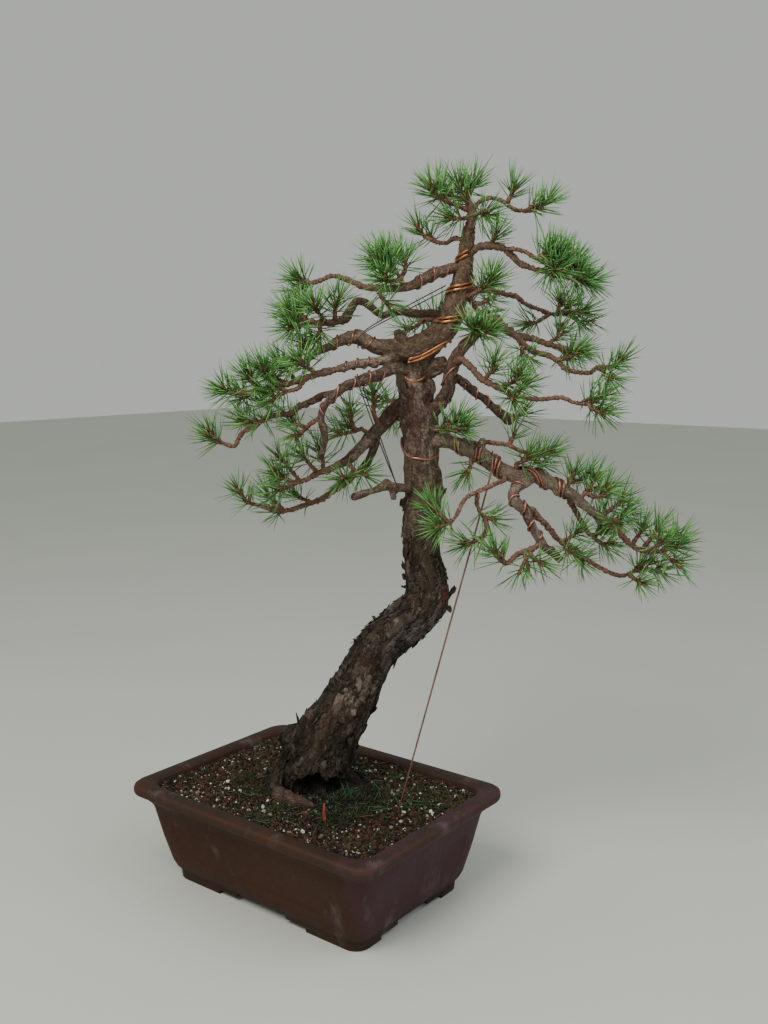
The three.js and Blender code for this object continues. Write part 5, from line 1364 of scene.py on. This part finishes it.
# Moss, grass and dropped needles: the patches, [middle x, y, radius], how many to a patch, how long, how
# upright they stand, and their tints.
GROWTH = [
    ([[96, -44, 26], [60, -70, 22], [128, -10, 24], [44, -86, 16], [150, -50, 20], [-70, -20, 20],
      [-40, -60, 18], [20, -96, 16], [110, 40, 24], [-90, 30, 20], [50, -20, 26]],
     170, (2.5, 5), 1.2, (0, 0.5)),
    ([[30, -42, 10], [40, -30, 12], [56, -44, 14], [20, -50, 8], [80, -10, 18], [96, -60, 14], [30, -92, 10]],
     6, (14, 30), 0.42, (0.5, 0.85)),
    ([[70, -60, 46], [120, -40, 50], [110, 30, 50], [60, 60, 44], [40, -60, 24], [-80, -30, 50],
      [-20, -90, 40]],
     15, (14, 32), 0.05, (0.6, 1)),
]


def growth_finish():
    growth, shader, add = start_material("moss_and_grass", Roughness=0.7, Specular_IOR_Level=0.3)
    tint, share = noted(add, "tint", "share")
    colour = mixed(add, between(add, tint, 0.0, 0.45), paint(28, 36, 20), paint(50, 62, 30))
    colour = washed(add, colour, tint, 0.5, 0.85, 1, paint(48, 94, 58))
    colour = washed(add, colour, tint, 0.9, 0.94, 1, paint(112, 76, 50))
    colour = washed(add, colour, share, 0.3, 0.0, 0.6, paint(34, 30, 20))
    colour = washed(add, colour, noise(add, object_place(add), 0.01), 0.5, 0.7, 0.3, paint(96, 92, 50))
    feed(shader, "Base Color", colour)
    return growth


def blades(patches, count, lengths, upright):
    """Feet, ways and lengths of blades standing or lying on the soil in patches."""
    feet, ways = [], []
    for x, y, radius in patches:
        for dx, dy in rng.normal(0, radius * 0.5, (count, 2)):
            place = soil_below(IN_PLACE @ Vector((x + dx, y + dy, 180)))
            if place is not None:
                feet.append(np.array(IN_PLACE.inverted() @ place) + (0, 0, 0.5 + 2 * (upright < 0.1)))
                ways.append([*rng.normal(0, 0.5, 2), upright])
    ways = unit(np.array(ways))
    return np.array(feet), ways, rng.uniform(*lengths, len(feet)), ways


def build_growth(growth):
    sets = [blades(*kind) for *kind, _ in GROWTH]
    corners, faces, share = needle_tufts(*(np.concatenate(values) for values in zip(*sets)))
    green = new_piece("moss_and_grass", corners, faces, growth)
    tints = [rng.uniform(*kind[-1], len(part[0])) for kind, part in zip(GROWTH, sets)]
    note(green, "share", share)
    note(green, "tint", np.repeat(np.concatenate(tints), NEEDLE_CORNERS))
    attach(green, "root")


build_growth(growth_finish())

# The training wires: soft annealed copper, wound round the trunk and limbs at a slant to hold them as they
# are bent. The newest, at the neck and the leader, is still bright, and the rest has gone dull and brown.

# What each is wound on, and its windings: how far along that it is, and how many turns it has made there.
# Those on the leader come to it across the neck, through the points before. The fit says how close to the
# bark a wire lies.
COILS = {
    "wire_neck": {"radius": 1.7, "on": "trunk", "fit": 0.95, "windings": [[0.985, -0.14], [0.967, -0.09],
      [0.957, -0.02], [0.954, 0.04], [0.957, 0.1], [0.966, 0.16], [0.982, 0.21]]},
    "wire_leader_1": {"radius": 1.7, "on": "leader",
      "before": [[116, -18, 673.8], [120.5, -19.5, 675.3], [131, -20.5, 678], [143, -20, 684]],
      "windings": [[0.325, 1.14], [0.335, 1.6], [0.45, 2], [0.65, 3], [0.86, 4.03]]},
    "wire_leader_2": {"radius": 1.7, "on": "leader",
      "before": [[117, -22, 677.2], [121, -23.4, 679.2], [132, -21.5, 682], [144, -21.5, 688.3]],
      "windings": [[0.362, 1.14], [0.372, 1.6], [0.475, 2], [0.675, 3], [0.885, 4.03]]},
    "wire_trunk": {"radius": 1.5, "on": "trunk",
      "windings": [[0.85, -0.3], [0.815, -0.12], [0.808, 0.05], [0.815, 0.15]]},
    "wire_right_6_1": {"radius": 1.5, "on": "right_6",
      "windings": [[0.19, -0.1], [0.475, 2.35], [0.6, 2.8], [0.69, 3.1], [0.86, 4.6]]},
    "wire_right_6_2": {"radius": 1.5, "on": "right_6",
      "windings": [[0.21, -0.1], [0.495, 2.35], [0.62, 2.8], [0.71, 3.1], [0.85, 4.3]]},
    "wire_left_2": {"radius": 1.1, "on": "left_2",
      "windings": [[0.5, -0.65], [0.62, -1.7], [0.67, -1.8], [0.92, -3.6]]},
    "wire_left_4": {"radius": 1.1, "on": "left_4", "windings": [[0.45, 0], [0.95, -3]]},
    "wire_left_5": {"radius": 1.1, "on": "left_5",
      "windings": [[0.27, 0], [0.54, -2.85], [0.63, -3.3], [0.72, -4.1]]},
    "wire_left_1": {"radius": 1.1, "on": "left_1", "windings": [[0.17, 0], [0.62, -2.5]]},
    "wire_right_4": {"radius": 1.1, "on": "right_4", "windings": [[0.17, 0], [0.235, 0.5], [0.29, 0.8],
      [0.39, 1], [0.57, 1.75], [0.65, 2], [0.88, 4]]},
    "wire_right_5_low": {"radius": 1.1, "on": "right_5_low", "windings": [[0.22, 0], [0.85, 3]]},
    "wire_right_6_fall": {"radius": 1.3, "on": "right_6_fall", "windings": [[0.16, 0], [0.72, 4]]},
}
# How many sides a wire has, how many steps it takes for a turn, and over how many its bends are evened out.
WIRE_SIDES, STEPS_PER_TURN, EVENED = 8, 30, 9


def metal_finish(name, bright, dull, tarnish, roughness):
    metal, shader, add = start_material(name, Metallic=0.85, Specular_IOR_Level=0.5)
    place = object_place(add)
    patch, fine = noise(add, place, 0.02, 4), noise(add, place, 0.002, 3)
    colour = mixed(add, between(add, patch, 0.3, 0.7), bright, dull)
    colour = washed(add, colour, fine, 0.55, 0.75, 0.6, tarnish)
    feed(shader, "Base Color", colour)
    feed(shader, "Roughness", between(add, patch, 0.3, 0.7, roughness, roughness + 0.2))
    bumped(add, shader, (fine, 0.0001))
    return metal


def coil_path(radius, on, windings, before=(), fit=1):
    """The middle of a wire that lies on the bark, wound as its windings say."""
    path = smooth_path(TRUNK if on == "trunk" else LIMBS[on], 0.5)
    run = distances(path)
    along, _, _ = directions_along(path)
    shares, turns_made = np.array(windings).T
    steps = max(8, round(abs(turns_made[-1] - turns_made[0]) * STEPS_PER_TURN))
    turns = np.linspace(turns_made[0], turns_made[-1], steps)
    order = 1 if turns_made[-1] > turns_made[0] else -1
    share = np.interp(order * turns, order * turns_made, shares)
    number = np.searchsorted(run, share * run[-1]).clip(0, len(path) - 1)
    middle, way = path[number, :3], along[number]
    front = unit(np.array([0, -1.0, 0]) + way * way[:, 1:2])
    angle = 2 * np.pi * turns[:, None]
    out = front * np.cos(angle) + np.cross(way, front) * np.sin(angle)
    surface = (trunk_wood if on in ROOTED else limb_wood)["surface"]
    reach = []
    for point, direction, plain in zip(middle, out, path[number, 3]):
        hit, _, _, distance = surface.ray_cast(Vector(point), Vector(direction))
        reach.append(min(max(distance, 0.85 * plain), 1.12 * plain + 1.2) if hit else plain)
    reach = np.convolve(np.pad(reach, EVENED // 2, mode="edge"), np.ones(EVENED) / EVENED, "valid")
    wound = middle + out * (fit * reach + 0.9 * radius)[:, None]
    return smooth_path([*before, *wound.tolist()], 1.5)


def build_wire(name, path, radius, finish):
    wire = new_piece("bare_" + name, *tube(path, WIRE_SIDES, np.full(len(path), radius)), finish)
    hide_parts(name)
    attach(wire, "root")


new_copper = metal_finish("new_copper", paint(194, 134, 92), paint(156, 96, 66), paint(100, 62, 46), 0.2)
old_copper = metal_finish("old_copper", paint(178, 126, 106), paint(138, 90, 76), paint(84, 56, 50), 0.3)
for name, coil in COILS.items():
    fresh = coil["on"] == "leader" or name == "wire_neck"
    build_wire(name, coil_path(**coil), coil["radius"], new_copper if fresh else old_copper)

# The guy wires: straight single wires that pull limbs down, each hooked over a limb and twisted to itself.
# The right one is copper and goes down into the soil, the others are thin dark iron.

GUYS = {
    "guy_right": {"radius": 1.1, "points": [[220, -17, 567.2], [219, -27.5, 566.2], [219, -35, 560],
      [218, -38, 552], [216, -39, 541], [152, -57, 300], [104, -70, 122], [98, -71.5, 100]]},
    "guy_left": {"radius": 0.7, "points": [[57, -57, 661], [57, -66, 660], [58, -71, 653], [62, -69, 640],
      [92, -44, 556], [104, -28, 524], [104, -26, 518], [104, -20.5, 515.8], [104, -15, 518],
      [103, -13.5, 524], [98, -18, 541], [70, -43, 625], [63, -48, 645]]},
    "guy_top": {"radius": 0.7, "points": [[163, -24, 760], [120, -30, 738], [66, -33, 710],
      [57, -33.5, 702], [57, -30, 694.5], [57, -22, 691], [57, -14, 694.5], [57, -10.5, 702], [64, -12, 711],
      [118, -17, 742], [162, -14, 765]]},
}

iron = metal_finish("dark_iron", paint(92, 84, 80), paint(66, 60, 58), paint(96, 68, 56), 0.5)
dull_copper = metal_finish("dull_copper", paint(150, 110, 98), paint(116, 82, 74), paint(84, 62, 56), 0.4)
for name, guy in GUYS.items():
    path = smooth_path([[*point, 1] for point in guy["points"]], 4)
    finish, slot = (dull_copper, "copper_wire") if name == "guy_right" else (iron, "dark_wire")
    build_wire(name, path, guy["radius"], finish)

# The floor: a plain pale board under the pot. Soft light comes from a pale room and two large lamps, and the
# camera is where the photographer stood.

# Where the lamps point, where the camera is, how far it is tipped up from straight down, and its lens.
AIM, EYE, EYE_TILT, EYE_LENS = (60, 0, 420), (88, -1328, 695), math.radians(81.2), 37.97


def build_floor():
    pale, shader, add = start_material("pale_floor", Roughness=0.8)
    place = object_place(add)
    tone = mixed(add, noise(add, place, 0.5, 3), paint(196, 198, 190), paint(206, 207, 200))
    feed(shader, "Base Color", tone)
    bpy.ops.mesh.primitive_plane_add(size=16, location=(0, 0, 0))
    floor = bpy.context.object
    floor.name = "floor"
    floor.data.materials.append(pale)


def add_light(name, position, size, power, colour):
    light = bpy.data.lights.new(name, "AREA")
    light.size, light.energy, light.color = size, power, colour
    lamp = bpy.data.objects.new(name, light)
    lamp.location = IN_PLACE @ Vector(position)
    lamp.rotation_euler = (IN_PLACE @ Vector(AIM) - lamp.location).to_track_quat("-Z", "Y").to_euler()
    bpy.context.collection.objects.link(lamp)


build_floor()
add_light("window", (-900, -1500, 2300), size=1.4, power=54, colour=(1, 0.975, 0.93))
add_light("fill", (1500, -900, 1500), size=2.0, power=17, colour=(0.9, 0.93, 1))
world = bpy.data.worlds.new("pale_room")
bpy.context.scene.world = world
world.use_nodes = True
room = world.node_tree.nodes["Background"].inputs
room["Color"].default_value, room["Strength"].default_value = (0.78, 0.81, 0.76, 1), 0.63

lens = bpy.data.cameras.new("camera")
lens.lens, lens.sensor_width, lens.clip_start = EYE_LENS, 36, 0.05
camera = bpy.data.objects.new("camera", lens)
camera.location = IN_PLACE @ Vector(EYE)
camera.rotation_euler = (EYE_TILT, 0, TREE_TURN)
bpy.context.collection.objects.link(camera)
bpy.context.scene.camera = camera
